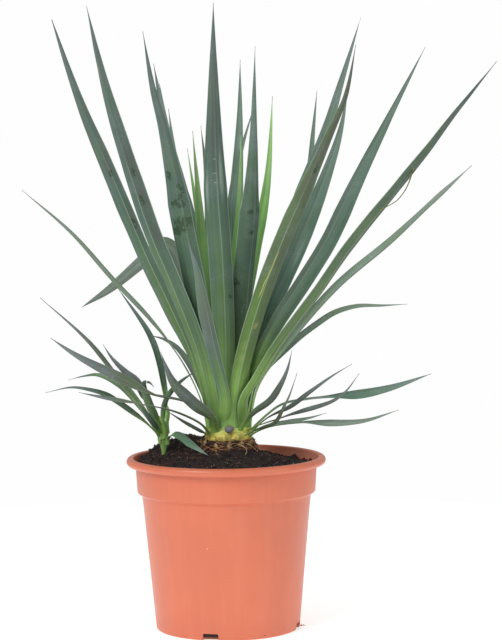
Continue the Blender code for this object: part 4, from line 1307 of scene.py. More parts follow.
def close_tree(tree, geometry, finish, result):
    """End a tree: smooth shading, real geometry and a material."""
    smooth = node(tree, "GeometryNodeSetShadeSmooth", {"Geometry": geometry}).outputs[0]
    real = node(tree, "GeometryNodeRealizeInstances", {"Geometry": smooth}).outputs[0]
    ended = node(tree, "GeometryNodeSetMaterial", {"Geometry": real, "Material": finish}).outputs[0]
    tree.links.new(ended, result.inputs[0])


def build_sweep_tree():
    """Sweeps a channelled section along each chain of edges, from sizes stored at its points."""
    tree, given, result = new_tree(
        "GeometryNodeTree", "yucca sweep",
        (("Geometry", GEOMETRY, None), ("Points round", WHOLE, 24), ("Margin", FLOAT, 0.6),
         ("Ripple", FLOAT, 0.0), ("Ripple length", FLOAT, 0.05), ("Seed", FLOAT, 0.0),
         ("Finish", "NodeSocketMaterial", None)),
        (("Geometry", GEOMETRY),))
    path = node(tree, "GeometryNodeMeshToCurve", {"Mesh": given["Geometry"]}).outputs[0]
    ring = node(tree, "GeometryNodeCurvePrimitiveCircle",
                {"Resolution": given["Points round"], "Radius": MM}, mode="RADIUS").outputs[0]
    turn = node(tree, "GeometryNodeSplineParameter").outputs["Factor"]
    ring = stored(tree, ring, "turn", turn, "FLOAT")
    skin = node(tree, "GeometryNodeCurveToMesh",
                {"Curve": path, "Profile Curve": ring, "Fill Caps": True}).outputs[0]
    angle = product(tree, read(tree, "turn"), 2 * math.pi)
    across = maths(tree, "COSINE", angle)
    face = maths(tree, "SINE", angle)
    side = maths(tree, "ABSOLUTE", across)
    body = maths(tree, "POWER", maths(tree, "ABSOLUTE", face), given["Margin"])
    body = product(tree, body, maths(tree, "SIGN", face), product(tree, read(tree, "body"), 0.5))
    rise = product(tree, maths(tree, "POWER", side, CHANNEL_POWER), read(tree, "depth"))
    waves = joined(tree, product(tree, across, 0.7),
                   maths(tree, "DIVIDE", read(tree, "run"), given["Ripple length"]), given["Seed"])
    wave = minus(tree, speckle(tree, waves, 1.0, 1.0), 0.5)
    wave = product(tree, wave, product(tree, given["Ripple"], 2.0), plus(tree, side, 0.2))
    lift = plus(tree, plus(tree, rise, body), wave)
    reach = product(tree, across, read(tree, "half"))
    place = vectors(tree, "ADD", read(tree, "spine", "FLOAT_VECTOR"),
                    scaled(tree, read(tree, "across_way", "FLOAT_VECTOR"), reach))
    place = vectors(tree, "ADD", place, scaled(tree, read(tree, "over_way", "FLOAT_VECTOR"), lift))
    skin = node(tree, "GeometryNodeSetPosition", {"Geometry": skin, "Position": place}).outputs[0]
    share = read(tree, "share")
    skin = stored(tree, skin, BLADE, joined(tree, across, share, face), "FLOAT_VECTOR")
    flat = joined(tree, maths(tree, "MULTIPLY_ADD", across, 0.5, 0.5), share)
    skin = stored(tree, skin, "UVMap", flat, "FLOAT2", "CORNER")
    close_tree(tree, skin, given["Finish"], result)


# What is stored at a path's points for the sweep, and the station's part that gives it
PATH_VALUES = (("spine", "place"), ("across_way", "across"), ("over_way", "over"),
               ("half", "half"), ("body", "body"), ("depth", "depth"), ("share", "share"),
               ("run", "run"))


def store_vectors(mesh, name, parts):
    """Store a vector for each point of a mesh, from a flat row of its parts."""
    mesh.attributes.new(name, "FLOAT_VECTOR", "POINT").data.foreach_set("vector", parts)


def sweep(name, chains, finish, points_round, margin, ripple=0.0, seed=0.0):
    """A piece swept along chains of stations, as a plain mesh."""
    mesh = bpy.data.meshes.new(name)
    stations = [station for chain in chains for station in chain]
    edges = []
    start = 0
    for chain in chains:
        edges += [(start + i, start + i + 1) for i in range(len(chain) - 1)]
        start += len(chain)
    mesh.from_pydata([station.place for station in stations], edges, [])
    for key, field in PATH_VALUES:
        values = [getattr(station, field) for station in stations]
        if isinstance(values[0], Vector):
            store_vectors(mesh, key, [part for value in values for part in value])
        else:
            mesh.attributes.new(key, "FLOAT", "POINT").data.foreach_set("value", values)
    piece = link_object(name, mesh)
    modifier = piece.modifiers.new("sweep", "NODES")
    modifier.node_group = bpy.data.node_groups["yucca sweep"]
    tree_inputs(modifier, {"Points round": points_round, "Margin": margin, "Ripple": ripple,
                           "Ripple length": RIPPLE_LENGTH * MM, "Seed": seed, "Finish": finish})
    plain_mesh(piece)
    for key in [key for key, _ in PATH_VALUES] + ["turn", "radius"]:
        layer = piece.data.attributes.get(key)
        if layer:
            piece.data.attributes.remove(layer)
    face_outwards(piece)
    return piece


def strand(points, radius, steps, taper):
    """A chain of stations for a round strand through points in millimetres."""
    stations, length = smooth_route([Vector(p) for p in points], steps)
    chain = []
    for i, (place, along) in enumerate(stations):
        share = i / steps
        side = along.cross(Vector((0, 0, 1)))
        side = side.normalized() if side.length > 0.05 else Vector((1, 0, 0))
        over = side.cross(along).normalized()
        half = radius * (1 - taper * share)
        chain.append(Station(place * MM, side, over, half * MM, 2 * half * MM, 0.0, share,
                             length * share * MM))
    return chain


# Leaves

def leaf_frame(along, bearing, roll):
    """Across and over directions of a blade, from its bearing and its roll in degrees."""
    turn = math.radians(bearing)
    level = Vector((math.cos(turn), math.sin(turn), 0.0))
    across = (level - along * level.dot(along)).normalized()
    over = along.cross(across)
    angle = math.radians(roll)
    turned_across = across * math.cos(angle) + over * math.sin(angle)
    return turned_across, along.cross(turned_across)


def leaf_facing(leaf, stem):
    """The bearing in which a leaf leans as a whole."""
    tip = leaf.route[-1]
    return math.degrees(math.atan2(tip[0] - stem[0], -(tip[1] - stem[1])))


def cad_width(share, leaf):
    """The solid blade's full width at a share of its length."""
    opening = ease((share - NECK_ENDS) / (WIDEST_FROM - NECK_ENDS))
    width = leaf.width * (NECK + (1 - NECK) * opening)
    if share > WIDEST_TO:
        left = (1 - share) / (1 - WIDEST_TO)
        width *= 1 - (1 - left) ** leaf.point
    return max(width, TIP_WIDTH)


def fine_width(share, leaf):
    """The fine blade's full width: the solid's, with a clasping foot and a finer tip."""
    width = cad_width(share, leaf)
    if leaf.width >= BROAD_LEAF:
        base = leaf.width * (FINE_NECK + (1 - FINE_NECK) * ease(share / WIDEST_FROM))
        width = max(width, base) if share < WIDEST_FROM else width
    clasp = leaf.width * CLASP_WIDTH * (1 - ease(share / CLASP_ENDS))
    if share < CLASP_ENDS:
        width = max(width, clasp + width * ease(share / CLASP_ENDS))
    if share > WIDEST_TO:
        left = (1 - share) / (1 - WIDEST_TO)
        point = FINE_POINTS.get(leaf.name, leaf.point)
        middle, reach, swell = BELLIES.get(leaf.name, (0.0, 1.0, 0.0))
        swelling = 1 + swell * math.exp(-((share - middle) / reach) ** 2)
        drawn = leaf.width * (1 - (1 - left) ** point) * swelling
        width = max(drawn, FINE_TIP_WIDTH)
    return width


def seated_foot(leaf, stem):
    """The foot's place on the stem, found as the CAD finds it."""
    broad = leaf.width >= BROAD_LEAF
    turn = math.radians(leaf.bearing)
    outward = Vector((math.sin(turn), -math.cos(turn), 0.0))
    reach = profile_radius(stem[2], leaf.foot)
    foot = Vector((stem[0], stem[1], leaf.foot)) + outward * reach
    thick = BLADE_THICKNESS + leaf.width * THICKNESS_PER_WIDTH
    half = cad_width(0.0, leaf) / 2
    depth = half * CHANNEL_AT_FOOT
    edge = max(thick / 2, MARGIN_THICKNESS)
    for _ in range(SEAT_TRIES):
        points = [foot] + [Vector(point) for point in leaf.route]
        stations, _ = smooth_route(points, SEAT_STEPS[broad])
        place, along = stations[0]
        across, over = leaf_frame(along, leaf.bearing, 0.0)
        gaps = []
        for share in SECTION_SHARES[broad]:
            rise = depth * abs(share) ** CHANNEL_POWER
            body = edge + (thick - edge) * (1 - abs(share))
            for lift in (rise + body / 2, rise - body / 2):
                point = place + across * (half * share) + over * lift
                away = math.hypot(point[0] - stem[0], point[1] - stem[1])
                gaps.append(away - profile_radius(stem[2], point[2]))
        clearance = min(gaps)
        if abs(clearance - SEAT_GAP) < SEAT_NEARNESS:
            break
        foot += outward * (SEAT_GAP - clearance)
    return foot, outward


def leaf_chain(leaf, stem, steps, clasp):
    """The stations of a fine blade, from where it clasps the stem to its tip."""
    foot, outward = seated_foot(leaf, stem)
    facing = leaf_facing(leaf, stem)
    axis = Vector((stem[0], stem[1], 0.0))
    reach = (foot - axis).xy.length - profile_radius(stem[2], foot.z)
    low = foot.z - clasp
    start = axis + outward * (profile_radius(stem[2], low) + reach)
    start.z = low
    points = [start, foot] + [Vector(point) for point in leaf.route]
    stations, length = smooth_route(points, steps)
    clasped = (foot - start).length
    thick = BLADE_THICKNESS + leaf.width * THICKNESS_PER_WIDTH
    chain = []
    for i, (place, along) in enumerate(stations):
        run = length * i / steps
        share = max(0.0, (run - clasped) / (length - clasped))
        half = fine_width(share, leaf) / 2
        body = thick * (1 - THINNING * share) * min(1.0, THIN_END + half / THIN_BELOW)
        turned_share = ease((share - leaf.turned) / TURN_TAKES + 1)
        channel = CLASP_CHANNEL + (CHANNEL - CLASP_CHANNEL) * turned_share
        depth = half * channel * (1 - share / 2)
        bearing = leaf.bearing + (facing - leaf.bearing) * turned_share
        across, over = leaf_frame(along, bearing, leaf.roll * turned_share)
        chain.append(Station(place * MM, across, over, half * MM, body * MM, depth * MM,
                             run / length, run * MM))
    return chain


def mark_blade(piece, leaf, seed, foot_share):
    """Store a blade's tone and core, and the places of its marks and stains."""
    mesh = piece.data
    count = len(mesh.vertices)
    blade = np.zeros(count * 3, np.float32)
    mesh.attributes[BLADE].data.foreach_get("vector", blade)
    blade = blade.reshape(-1, 3)
    tone = TONES.get(leaf.name, PLAIN_TONE + TONE_RANGE * random.Random(seed).random())
    layers = {"marks": (0.0, 0.0, 0.0), "core": CORES.get(leaf.name, PLAIN_CORE),
              "stains": (0.0, 0.0, 0.0), "own": (tone, seed * SEED_STEP, foot_share)}
    layers = {name: np.tile(np.float32(values), (count, 1)) for name, values in layers.items()}
    for name, column, table in (("marks", 0, RUBS), ("marks", 1, STREAKS), ("marks", 2, FLECKS),
                                ("stains", 0, STAINS)):
        values = layers[name][:, column]
        for along, across, long, wide in table.get(leaf.name, ()):
            far = ((blade[:, 1] - along) / long) ** 2 + ((blade[:, 0] - across) / wide) ** 2
            np.maximum(values, np.exp(-far), out=values)
    for name, values in layers.items():
        store_vectors(mesh, name, values.ravel())


def leaf_finish(tint):
    """The finish of leaves of one tint, made when it is first asked for."""
    return bpy.data.materials.get(f"leaf_{tint}_finish") or leaf_material(tint)


def build_leaf(leaf, stem, number, clasp, foot_share):
    """One finished leaf, standing for its CAD node."""
    look = settings("leaves")
    broad = leaf.width >= BROAD_LEAF
    steps = look.broad_stations if broad else look.narrow_stations
    chain = leaf_chain(leaf, stem, steps, clasp)
    ripple = look.ripple * (1.0 if broad else NARROW_RIPPLE)
    finish = leaf_finish(FINISHES.get(leaf.name, leaf.tint))
    piece = sweep(leaf.name + "_blade", [chain], finish, BROAD_POINTS if broad else NARROW_POINTS,
                  BLADE_SECTION, ripple, number * RIPPLE_SEED_STEP)
    mark_blade(piece, leaf, number, foot_share)
    finish_piece(piece, "leaf_" + leaf.tint, leaf.name)


CROWN = (CROWN_X, CROWN_Y, CROWN_PROFILE)
OFFSET = (OFFSET_X, OFFSET_Y, OFFSET_PROFILE)


class YUCCA_OT_main_leaves(bpy.types.Operator):
    """Make the long leaves of the rosette"""
    bl_idname = "yucca.main_leaves"
    bl_label = "Main leaves"

    def execute(self, context):
        for number, leaf in enumerate(MAIN_LEAVES):
            build_leaf(leaf, CROWN, number, *MAIN_CLASP)
        look = settings("crown")
        finish = fibrous_material("thread_finish", look.flesh_dark, look.husk_dark, 0.4)
        chain = strand(LEAF_THREAD, 0.75, 24, 0.4)
        thread = sweep("leaf_thread", [chain], finish, 6, ROUND_SECTION)
        finish_piece(thread, "leaf_green")
        return {"FINISHED"}


class YUCCA_OT_low_leaves(bpy.types.Operator):
    """Make the thin leaves at the crown's foot"""
    bl_idname = "yucca.low_leaves"
    bl_label = "Low leaves"

    def execute(self, context):
        for number, leaf in enumerate(LOW_LEAVES):
            build_leaf(leaf, CROWN, LOW_LEAVES_FROM + number, *LOW_CLASP)
        return {"FINISHED"}


# Pot

def pot_section():
    """The whole section of the pot's wall, from the underside up and over the rim to the floor."""
    roll = (POT_HEIGHT - RIM_UNDERSIDE) / 2
    middle = RIM_UNDERSIDE + roll
    points = [(BASE_RADIUS - BASE_CORNER - 3.0, 0.0)]
    points += arc((BASE_RADIUS - BASE_CORNER, BASE_CORNER), BASE_CORNER, -90, 0, 8)
    rise = BODY_TOP - BASE_CORNER
    for i in range(1, BODY_RINGS):
        share = i / BODY_RINGS
        points.append((BASE_RADIUS + (BODY_TOP_RADIUS - BASE_RADIUS) * share,
                       BASE_CORNER + rise * share))
    points += arc((BODY_TOP_RADIUS + STEP_FILLET, BODY_TOP), STEP_FILLET, 180, 120, 4)
    points += arc((COLLAR_FOOT_RADIUS - STEP_ROUNDING, COLLAR_FOOT), STEP_ROUNDING, -50, 0, 6)
    rise = RIM_UNDERSIDE - RIM_FILLET - COLLAR_FOOT
    for i in range(1, COLLAR_RINGS):
        share = i / COLLAR_RINGS
        points.append((COLLAR_FOOT_RADIUS + (COLLAR_TOP_RADIUS - COLLAR_FOOT_RADIUS) * share,
                       COLLAR_FOOT + rise * share))
    points += arc((COLLAR_TOP_RADIUS + RIM_FILLET, RIM_UNDERSIDE - RIM_FILLET), RIM_FILLET, 180, 90, 6)
    points += arc((RIM_RADIUS - roll, middle), roll, -86, 90, 20)
    points += arc((RIM_MOUTH_RADIUS + MOUTH_ROUNDING, POT_HEIGHT - MOUTH_ROUNDING), MOUTH_ROUNDING,
                  95, 180, 7)
    points += [
        (COLLAR_TOP_RADIUS - WALL + THROAT[0], RIM_UNDERSIDE - THROAT[1]),
        (COLLAR_TOP_RADIUS - WALL, RIM_UNDERSIDE - INNER_CORNER),
        (COLLAR_FOOT_RADIUS - WALL, COLLAR_FOOT + WALL),
        (BODY_TOP_RADIUS - WALL, BODY_TOP + WALL),
        (BASE_RADIUS - WALL, FLOOR + INNER_CORNER),
        (BASE_RADIUS - WALL - INNER_CORNER, FLOOR),
    ]
    return points


def notch_tool(bearing):
    """A rounded wedge that cuts one drainage notch through the foot of the wall."""
    turn = math.radians(bearing)
    half_low = NOTCH_WIDTH / 2
    half_top = NOTCH_TOP_WIDTH / 2
    corner = NOTCH_ROUNDING
    outline = [(-half_low, -NOTCH_HEIGHT), (half_low, -NOTCH_HEIGHT)]
    outline += arc((half_top - corner, NOTCH_HEIGHT - corner), corner, 10, 90, 6)
    outline += arc((-half_top + corner, NOTCH_HEIGHT - corner), corner, 90, 170, 6)
    rings = []
    for reach in (NOTCH_INNER_RADIUS, BASE_RADIUS + NOTCH_HEIGHT):
        rings.append([(reach * math.sin(turn) + side * math.cos(turn),
                       -reach * math.cos(turn) + side * math.sin(turn), height)
                      for side, height in outline])
    return link_object("notch_tool", mesh_from_rings("notch_tool", rings))


def cut(target, tool):
    """Cut a tool out of an object and remove the tool."""
    step = target.modifiers.new("cut", "BOOLEAN")
    step.operation = "DIFFERENCE"
    step.solver = "EXACT"
    step.object = tool
    plain_mesh(target)
    bpy.data.objects.remove(tool, do_unlink=True)


class YUCCA_OT_pot(bpy.types.Operator):
    """Make the moulded pot with its rolled rim, collar and drainage notches"""
    bl_idname = "yucca.pot"
    bl_label = "Pot"

    def execute(self, context):
        rings = [circle(r, z, POT_SEGMENTS) for r, z in pot_section()]
        pot = link_object("pot_moulded", mesh_from_rings("pot_moulded", rings))
        for bearing in NOTCH_BEARINGS:
            cut(pot, notch_tool(bearing))
        pot.data.materials.clear()
        pot.data.materials.append(plastic_material())
        pot.data.shade_smooth()
        pot.data.set_sharp_from_angle(angle=math.radians(SHARP_ANGLE))
        finish_piece(pot, "pot_plastic", "pot")
        return {"FINISHED"}


# Soil

def grain(x, y):
    """The rise of clods and crumbs at a place on the soil."""
    rise = 0.0
    for heap_x, heap_y, height, reach in HEAPS:
        rise += height * math.exp(-((x - heap_x) ** 2 + (y - heap_y) ** 2) / (2 * reach ** 2))
    for number, (height, size) in enumerate(SOIL_GRAIN):
        spot = Vector((x / size, y / size, number * GRAIN_SHIFT))
        rise += height * (abs(noise.noise(spot)) * GRAIN_GAIN - GRAIN_DROP)
    return rise


def build_scatter_tree():
    """Strews irregular crumbs over the upward faces of a surface."""
    tree, given, result = new_tree(
        "GeometryNodeTree", "yucca crumbs",
        (("Geometry", GEOMETRY, None), ("Density", FLOAT, 1000.0), ("Width", FLOAT, 0.002),
         ("Flatness", FLOAT, 0.7), ("Steps", WHOLE, 1), ("Kept clear", FLOAT, 0.024),
         ("Seed", WHOLE, 1), ("Finish", "NodeSocketMaterial", None)),
        (("Geometry", GEOMETRY),))
    up = parts_of(tree, node(tree, "GeometryNodeInputNormal").outputs[0])[2]
    place = node(tree, "GeometryNodeInputPosition").outputs[0]
    from_crown = far_from(tree, stretched(tree, place, LEVEL), metres((CROWN_X, CROWN_Y, 0.0)))
    chosen = node(tree, "FunctionNodeBooleanMath", {
        0: maths(tree, "GREATER_THAN", up, 0.4),
        1: maths(tree, "GREATER_THAN", from_crown, given["Kept clear"])}, operation="AND").outputs[0]
    points = node(tree, "GeometryNodeDistributePointsOnFaces", {
        "Mesh": given["Geometry"], "Selection": chosen, "Density": given["Density"],
        "Seed": given["Seed"]}, distribute_method="RANDOM").outputs[0]
    lump = node(tree, "GeometryNodeMeshIcoSphere", {"Radius": 0.5, "Subdivisions": given["Steps"]})
    shape = node(tree, "GeometryNodeInputPosition").outputs[0]
    knob = node(tree, "ShaderNodeTexNoise", {"Vector": shape, "Scale": 1.9, "Detail": 2.0}).outputs[1]
    knob = scaled(tree, vectors(tree, "SUBTRACT", knob, (0.5, 0.5, 0.5)), 1.1)
    lump = node(tree, "GeometryNodeSetPosition", {"Geometry": lump.outputs[0], "Offset": knob})
    turn = node(tree, "FunctionNodeRandomValue", {
        "Min": (0.0, 0.0, 0.0), "Max": (6.3, 6.3, 6.3), "Seed": given["Seed"]},
                data_type="FLOAT_VECTOR").outputs[0]
    size = node(tree, "FunctionNodeRandomValue", {
        0: (0.5, 0.5, 0.4), 1: (1.5, 1.3, 1.1), "Seed": plus(tree, given["Seed"], 7)},
                data_type="FLOAT_VECTOR").outputs[0]
    size = scaled(tree, size, given["Width"])
    size = stretched(tree, size, joined(tree, 1.0, 1.0, given["Flatness"]))
    crumbs = node(tree, "GeometryNodeInstanceOnPoints", {
        "Points": points, "Instance": lump.outputs[0], "Rotation": turn, "Scale": size}).outputs[0]
    close_tree(tree, crumbs, given["Finish"], result)


def strewn(name, ground, finish, values):
    """A piece of crumbs strewn over the soil's top."""
    piece = link_object(name, ground.data.copy())
    modifier = piece.modifiers.new("crumbs", "NODES")
    modifier.node_group = bpy.data.node_groups["yucca crumbs"]
    tree_inputs(modifier, {**values, "Finish": finish})
    plain_mesh(piece)
    face_outwards(piece)
    return piece


def soil_fibres():
    """Chains of fine roots and fibres that lie on the soil."""
    draw = random.Random(FIBRE_SEED)
    chains = []
    for _ in range(FIBRES):
        reach = FIBRES_REACH * math.sqrt(draw.uniform(0.1, 1.0))
        turn = draw.uniform(0, 2 * math.pi)
        x = reach * math.cos(turn)
        y = reach * math.sin(turn)
        heading = draw.uniform(0, 2 * math.pi)
        points = []
        for _ in range(5):
            if math.hypot(x, y) > FIBRES_EDGE:
                break
            lift = draw.uniform(0.2, 1.8)
            points.append((x, y, soil_height(x, y) + max(grain(x, y), 0.0) + lift))
            step = draw.uniform(1.5, 4.5)
            x += step * math.cos(heading)
            y += step * math.sin(heading)
            heading += draw.uniform(-0.9, 0.9)
        if len(points) > 2:
            chains.append(strand(points, draw.uniform(0.12, 0.3), 10, 0.5))
    return chains


class YUCCA_OT_soil(bpy.types.Operator):
    """Make the soil with its crumbs, fibres and pale flakes"""
    bl_idname = "yucca.soil"
    bl_label = "Soil"

    def execute(self, context):
        look = settings("soil")
        walls = (
            (BASE_RADIUS - WALL - INNER_CORNER, FLOOR + SEAT_GAP),
            (BASE_RADIUS - WALL, FLOOR + INNER_CORNER),
            (BODY_TOP_RADIUS - WALL, BODY_TOP + WALL),
            (COLLAR_FOOT_RADIUS - WALL, COLLAR_FOOT + WALL),
        )
        rings = [circle(radius - SEAT_GAP, height, SOIL_SEGMENTS) for radius, height in walls]
        edge = COLLAR_TOP_RADIUS - WALL - SOIL_EDGE_GAP
        for i in range(SOIL_RINGS):
            share = 1 - i / SOIL_RINGS
            ring = []
            for x, y, _ in circle(edge * share, 0.0, SOIL_SEGMENTS):
                ring.append((x, y, soil_height(x, y) + grain(x, y)))
            rings.append(ring)
        soil = link_object("soil_top", mesh_from_rings("soil_top", rings))
        soil.data.materials.append(peat_material("peat_finish", TOP_PALE))
        soil.data.shade_smooth()
        crumb_finish = peat_material("peat_crumb_finish", CRUMBS_PALE)
        small = {"Density": float(look.crumbs), "Width": look.crumb, "Steps": 1, "Seed": CRUMB_SEED}
        large = {"Density": float(look.clods), "Width": look.clod, "Steps": 2, "Seed": CLOD_SEED,
                 "Kept clear": CLODS_CLEAR * MM}
        pale = {"Density": FLAKES, "Width": FLAKE_WIDTH * MM, "Flatness": FLAKE_FLATNESS, "Steps": 1,
                "Seed": FLAKE_SEED, "Kept clear": FLAKES_CLEAR * MM}
        flake_finish = fibrous_material("flake_finish", look.flake, look.fibre, 0.7)
        for name, finish, values in (("soil_crumbs", crumb_finish, small),
                                     ("soil_clods", crumb_finish, large),
                                     ("soil_flakes", flake_finish, pale)):
            finish_piece(strewn(name, soil, finish, values), "peat")
        finish_piece(soil, "peat", "soil")
        fibre_finish = fibrous_material("fibre_finish", look.fibre, look.peat, 0.5)
        fibres = sweep("soil_fibres", soil_fibres(), fibre_finish, 5, ROUND_SECTION)
        finish_piece(fibres, "peat")
        return {"FINISHED"}


# Crown, husk and roots

def rough_turning(name, profile, count, x, y, rise, size, between=4):
    """A turned form with a finely lumpy skin."""
    fine = []
    for (r0, z0), (r1, z1) in zip(profile, profile[1:]):
        fine += [(r0 + (r1 - r0) * k / between, z0 + (z1 - z0) * k / between)
                 for k in range(between)]
    fine.append(profile[-1])
    rings = []
    for radius, height in fine:
        ring = []
        for px, py, pz in circle(radius, height, count, x, y):
            lump = noise.noise(Vector((px, py, pz)) / size)
            out = Vector((px - x, py - y, 0.0)).normalized()
            ring.append((px + out.x * lump * rise, py + out.y * lump * rise, pz))
        rings.append(ring)
    mesh = mesh_from_rings(name, rings)
    mesh.shade_smooth()
    return mesh


def stub_mesh():
    """The rounded end of a cut shoot, pointing to the front."""
    rings = []
    section = [(STUB_ROOT, STUB_RADIUS), (STUB_REACH - 3.6, STUB_RADIUS), (STUB_REACH - 2.6, 4.1),
               (STUB_REACH - 1.8, 3.75), (STUB_REACH - 1.1, 3.2), (STUB_REACH - 0.6, 2.6),
               (STUB_REACH - 0.2, 1.7), (STUB_REACH, 0.7)]
    for reach, radius in section:
        ring = []
        for i in range(32):
            turn = 2 * math.pi * i / 32
            uneven = 1 + 0.06 * math.sin(2 * turn + 0.6) + 0.03 * math.sin(5 * turn)
            ring.append((STUB_X + radius * uneven * 1.08 * math.cos(turn), CROWN_Y - reach,
                         STUB_HEIGHT + radius * uneven * 0.9 * math.sin(turn)))
        rings.append(ring)
    mesh = mesh_from_rings("crown_stub", rings)
    mesh.shade_smooth()
    return mesh


class YUCCA_OT_crown(bpy.types.Operator):
    """Make the crown with its cut stub"""
    bl_idname = "yucca.crown"
    bl_label = "Crown"

    def execute(self, context):
        mesh = rough_turning("crown_stem", CROWN_SKIN, CROWN_SEGMENTS, CROWN_X, CROWN_Y, 0.9, 6.0, 6)
        finish_form(mesh, crown_material(), "crown_flesh", "crown")
        finish_form(stub_mesh(), stub_material(), "crown_flesh")
        return {"FINISHED"}


def round_crown(bearing, reach, height):
    """A place given by its bearing round the crown, its reach from the axis and its height."""
    turn = math.radians(bearing)
    return (CROWN_X + reach * math.sin(turn), CROWN_Y - reach * math.cos(turn), height)


def over_soil(bearing, reach, lift):
    """A place over the soil, given by its bearing and reach from the crown's axis."""
    x, y, _ = round_crown(bearing, reach, 0.0)
    return (x, y, soil_height(x, y) + lift)


# Each surface root: its thickness, and the bearing, reach from the crown's axis and height over
# the soil of the points that it passes
SURFACE_ROOTS = (
    (1.5, ((20, 26, 7), (24, 30, 6.5), (31, 34, 4.6), (30, 37, 3.0), (26, 39, 2.0))),
    (0.9, ((38, 26, 9), (44, 31, 8.5), (52, 33, 5.0), (58, 36, 2.4))),
    (0.8, ((-20, 26, 5), (-24, 32, 3.0), (-20, 38, 1.8), (-12, 44, 1.8))),
    (0.8, ((-52, 26, 4), (-58, 33, 2.4), (-55, 41, 1.8))),
    (1.6, ((150, 26, 5), (158, 33, 2.4), (150, 42, 2.0))),
    (1.4, ((-130, 26, 5), (-138, 34, 2.4), (-130, 44, 2.0))),
)
# Fibres that reach out of the right notch: bearing, reach at both ends and height
NOTCH_ROOTS = ((73, 70, 80, 5.5), (75, 70, 83, 6.2), (77, 70, 79, 4.2), (78.5, 70, 81, 5.2),
               (74, 70, 78, 3.2), (79.5, 70, 82, 3.4))


def husk_chains():
    """Knotted strands that wrap the crown's foot."""
    draw = random.Random(HUSK_SEED)
    chains = []
    for number in range(HUSK_STRANDS):
        bearing = number * 360 / HUSK_STRANDS + draw.uniform(-6, 6)
        height = draw.uniform(190, 202)
        points = []
        swing = draw.choice((-1, 1)) * draw.uniform(5, 12)
        reach = draw.uniform(26.5, 28.5)
        for _ in range(draw.randint(4, 6)):
            points.append(round_crown(bearing, reach, height))
            bearing += swing + draw.uniform(-4, 4)
            height += draw.uniform(-2.8, 1.1)
            reach = min(max(reach + draw.uniform(-1.0, 1.8), 24.0), 31.0)
        chains.append(strand(points, draw.uniform(0.22, 0.6), 14, 0.6))
    return chains


def scale_chains():
    """Dry papery scales that stand round the husk's upper edge."""
    draw = random.Random(SCALE_SEED)
    chains = []
    for number in range(HUSK_SCALES):
        bearing = number * 360 / HUSK_SCALES + draw.uniform(-5, 5)
        foot = draw.uniform(189, 194)
        length = draw.uniform(5, 8)
        points = (round_crown(bearing, 27.5, foot),
                  round_crown(bearing + 1, 29.0, foot + length * 0.5),
                  round_crown(bearing + 2, 27.2 + draw.uniform(-1.5, 2.5), foot + length))
        steps = 12
        stations, total = smooth_route([Vector(p) for p in points], steps)
        wide = draw.uniform(2.5, 4.5)
        chain = []
        for i, (place, along) in enumerate(stations):
            share = i / steps
            across, over = leaf_frame(along, bearing, draw.uniform(-4, 4))
            half = wide * (1 - 0.8 * share ** 2) * (0.7 + 0.3 * ease(share * 4))
            chain.append(Station(place * MM, across, over, half * MM, 0.5 * MM, half * 0.4 * MM,
                                 share, total * share * MM))
        chains.append(chain)
    return chains


def surface_root_chains():
    """The thicker roots that leave the husk and enter the soil."""
    chains = []
    for thick, route in SURFACE_ROOTS:
        chains.append(strand([over_soil(*spot) for spot in route], thick / 2, 24, 0.5))
    return chains


def notch_root_chains():
    """The fibres at the right drainage notch."""
    chains = []
    for bearing, start, end, lift in NOTCH_ROOTS:
        points = []
        for reach, turned, height in ((start, 0.0, lift), ((start + end) / 2, 0.02, lift - 0.6),
                                      (end, 0.05, lift * 0.6)):
            turn = math.radians(bearing) + turned
            points.append((reach * math.sin(turn), -reach * math.cos(turn), height))
        chains.append(strand(points, 0.35, 10, 0.5))
    return chains


class YUCCA_OT_root_collar(bpy.types.Operator):
    """Make the brown husk round the crown's foot and its surface roots"""
    bl_idname = "yucca.root_collar"
    bl_label = "Husk and roots"

    def execute(self, context):
        look = settings("crown")
        husk_finish = fibrous_material("husk_finish", look.husk, look.husk_dark, 0.4)
        mesh = rough_turning("root_husk_core", HUSK_PROFILE, 120, CROWN_X, CROWN_Y, 3.0, 4.0, 5)
        # The core's finish is its brown skin mixed with the husk's dark: painted shade between the strands
        core_finish = fibrous_material("husk_core_finish", look.bark, look.husk_dark, 0.3)
        finish_form(mesh, core_finish, "root_husk", "root_collar")
        scale_finish = fibrous_material("husk_scale_finish", look.root, look.husk_dark, 0.5)
        root_finish = fibrous_material("root_finish", look.root, look.husk_dark, 0.6)
        for name, chains, finish, points_round, section in (
                ("husk_strands", husk_chains(), husk_finish, 8, ROUND_SECTION),
                ("husk_scales", scale_chains(), scale_finish, 14, SCALE_SECTION),
                ("notch_roots", notch_root_chains(), husk_finish, 6, ROUND_SECTION),
                ("surface_roots", surface_root_chains(), root_finish, 10, ROUND_SECTION)):
            finish_piece(sweep(name, chains, finish, points_round, section), "root_husk")
        return {"FINISHED"}


class YUCCA_OT_offset(bpy.types.Operator):
    """Make the side shoot's stem and leaves"""
    bl_idname = "yucca.offset"
    bl_label = "Side shoot"

    def execute(self, context):
        mesh = rough_turning("offset_stem_fine", OFFSET_SKIN, 40, OFFSET_X, OFFSET_Y, 0.3, 4.0, 5)
        for key, value in STEM_VALUES:
            store_vectors(mesh, key, value * len(mesh.vertices))
        finish_form(mesh, leaf_finish("green"), "offset_flesh", "offset_stem")
        for number, leaf in enumerate(OFFSET_LEAVES):
            build_leaf(leaf, OFFSET, OFFSET_LEAVES_FROM + number, *OFFSET_CLASP)
        return {"FINISHED"}


# Stage

CAMERA_PLACE = (0.0, -2.4, 0.49853)
CAMERA_PITCH = 0.07193
CAMERA_ROLL = -0.01286
FOCAL_PIXELS = 2291.7
FRAME_PIXELS = 640
CENTRE_SHIFT_PIXELS = 26.7
SENSOR = 36.0
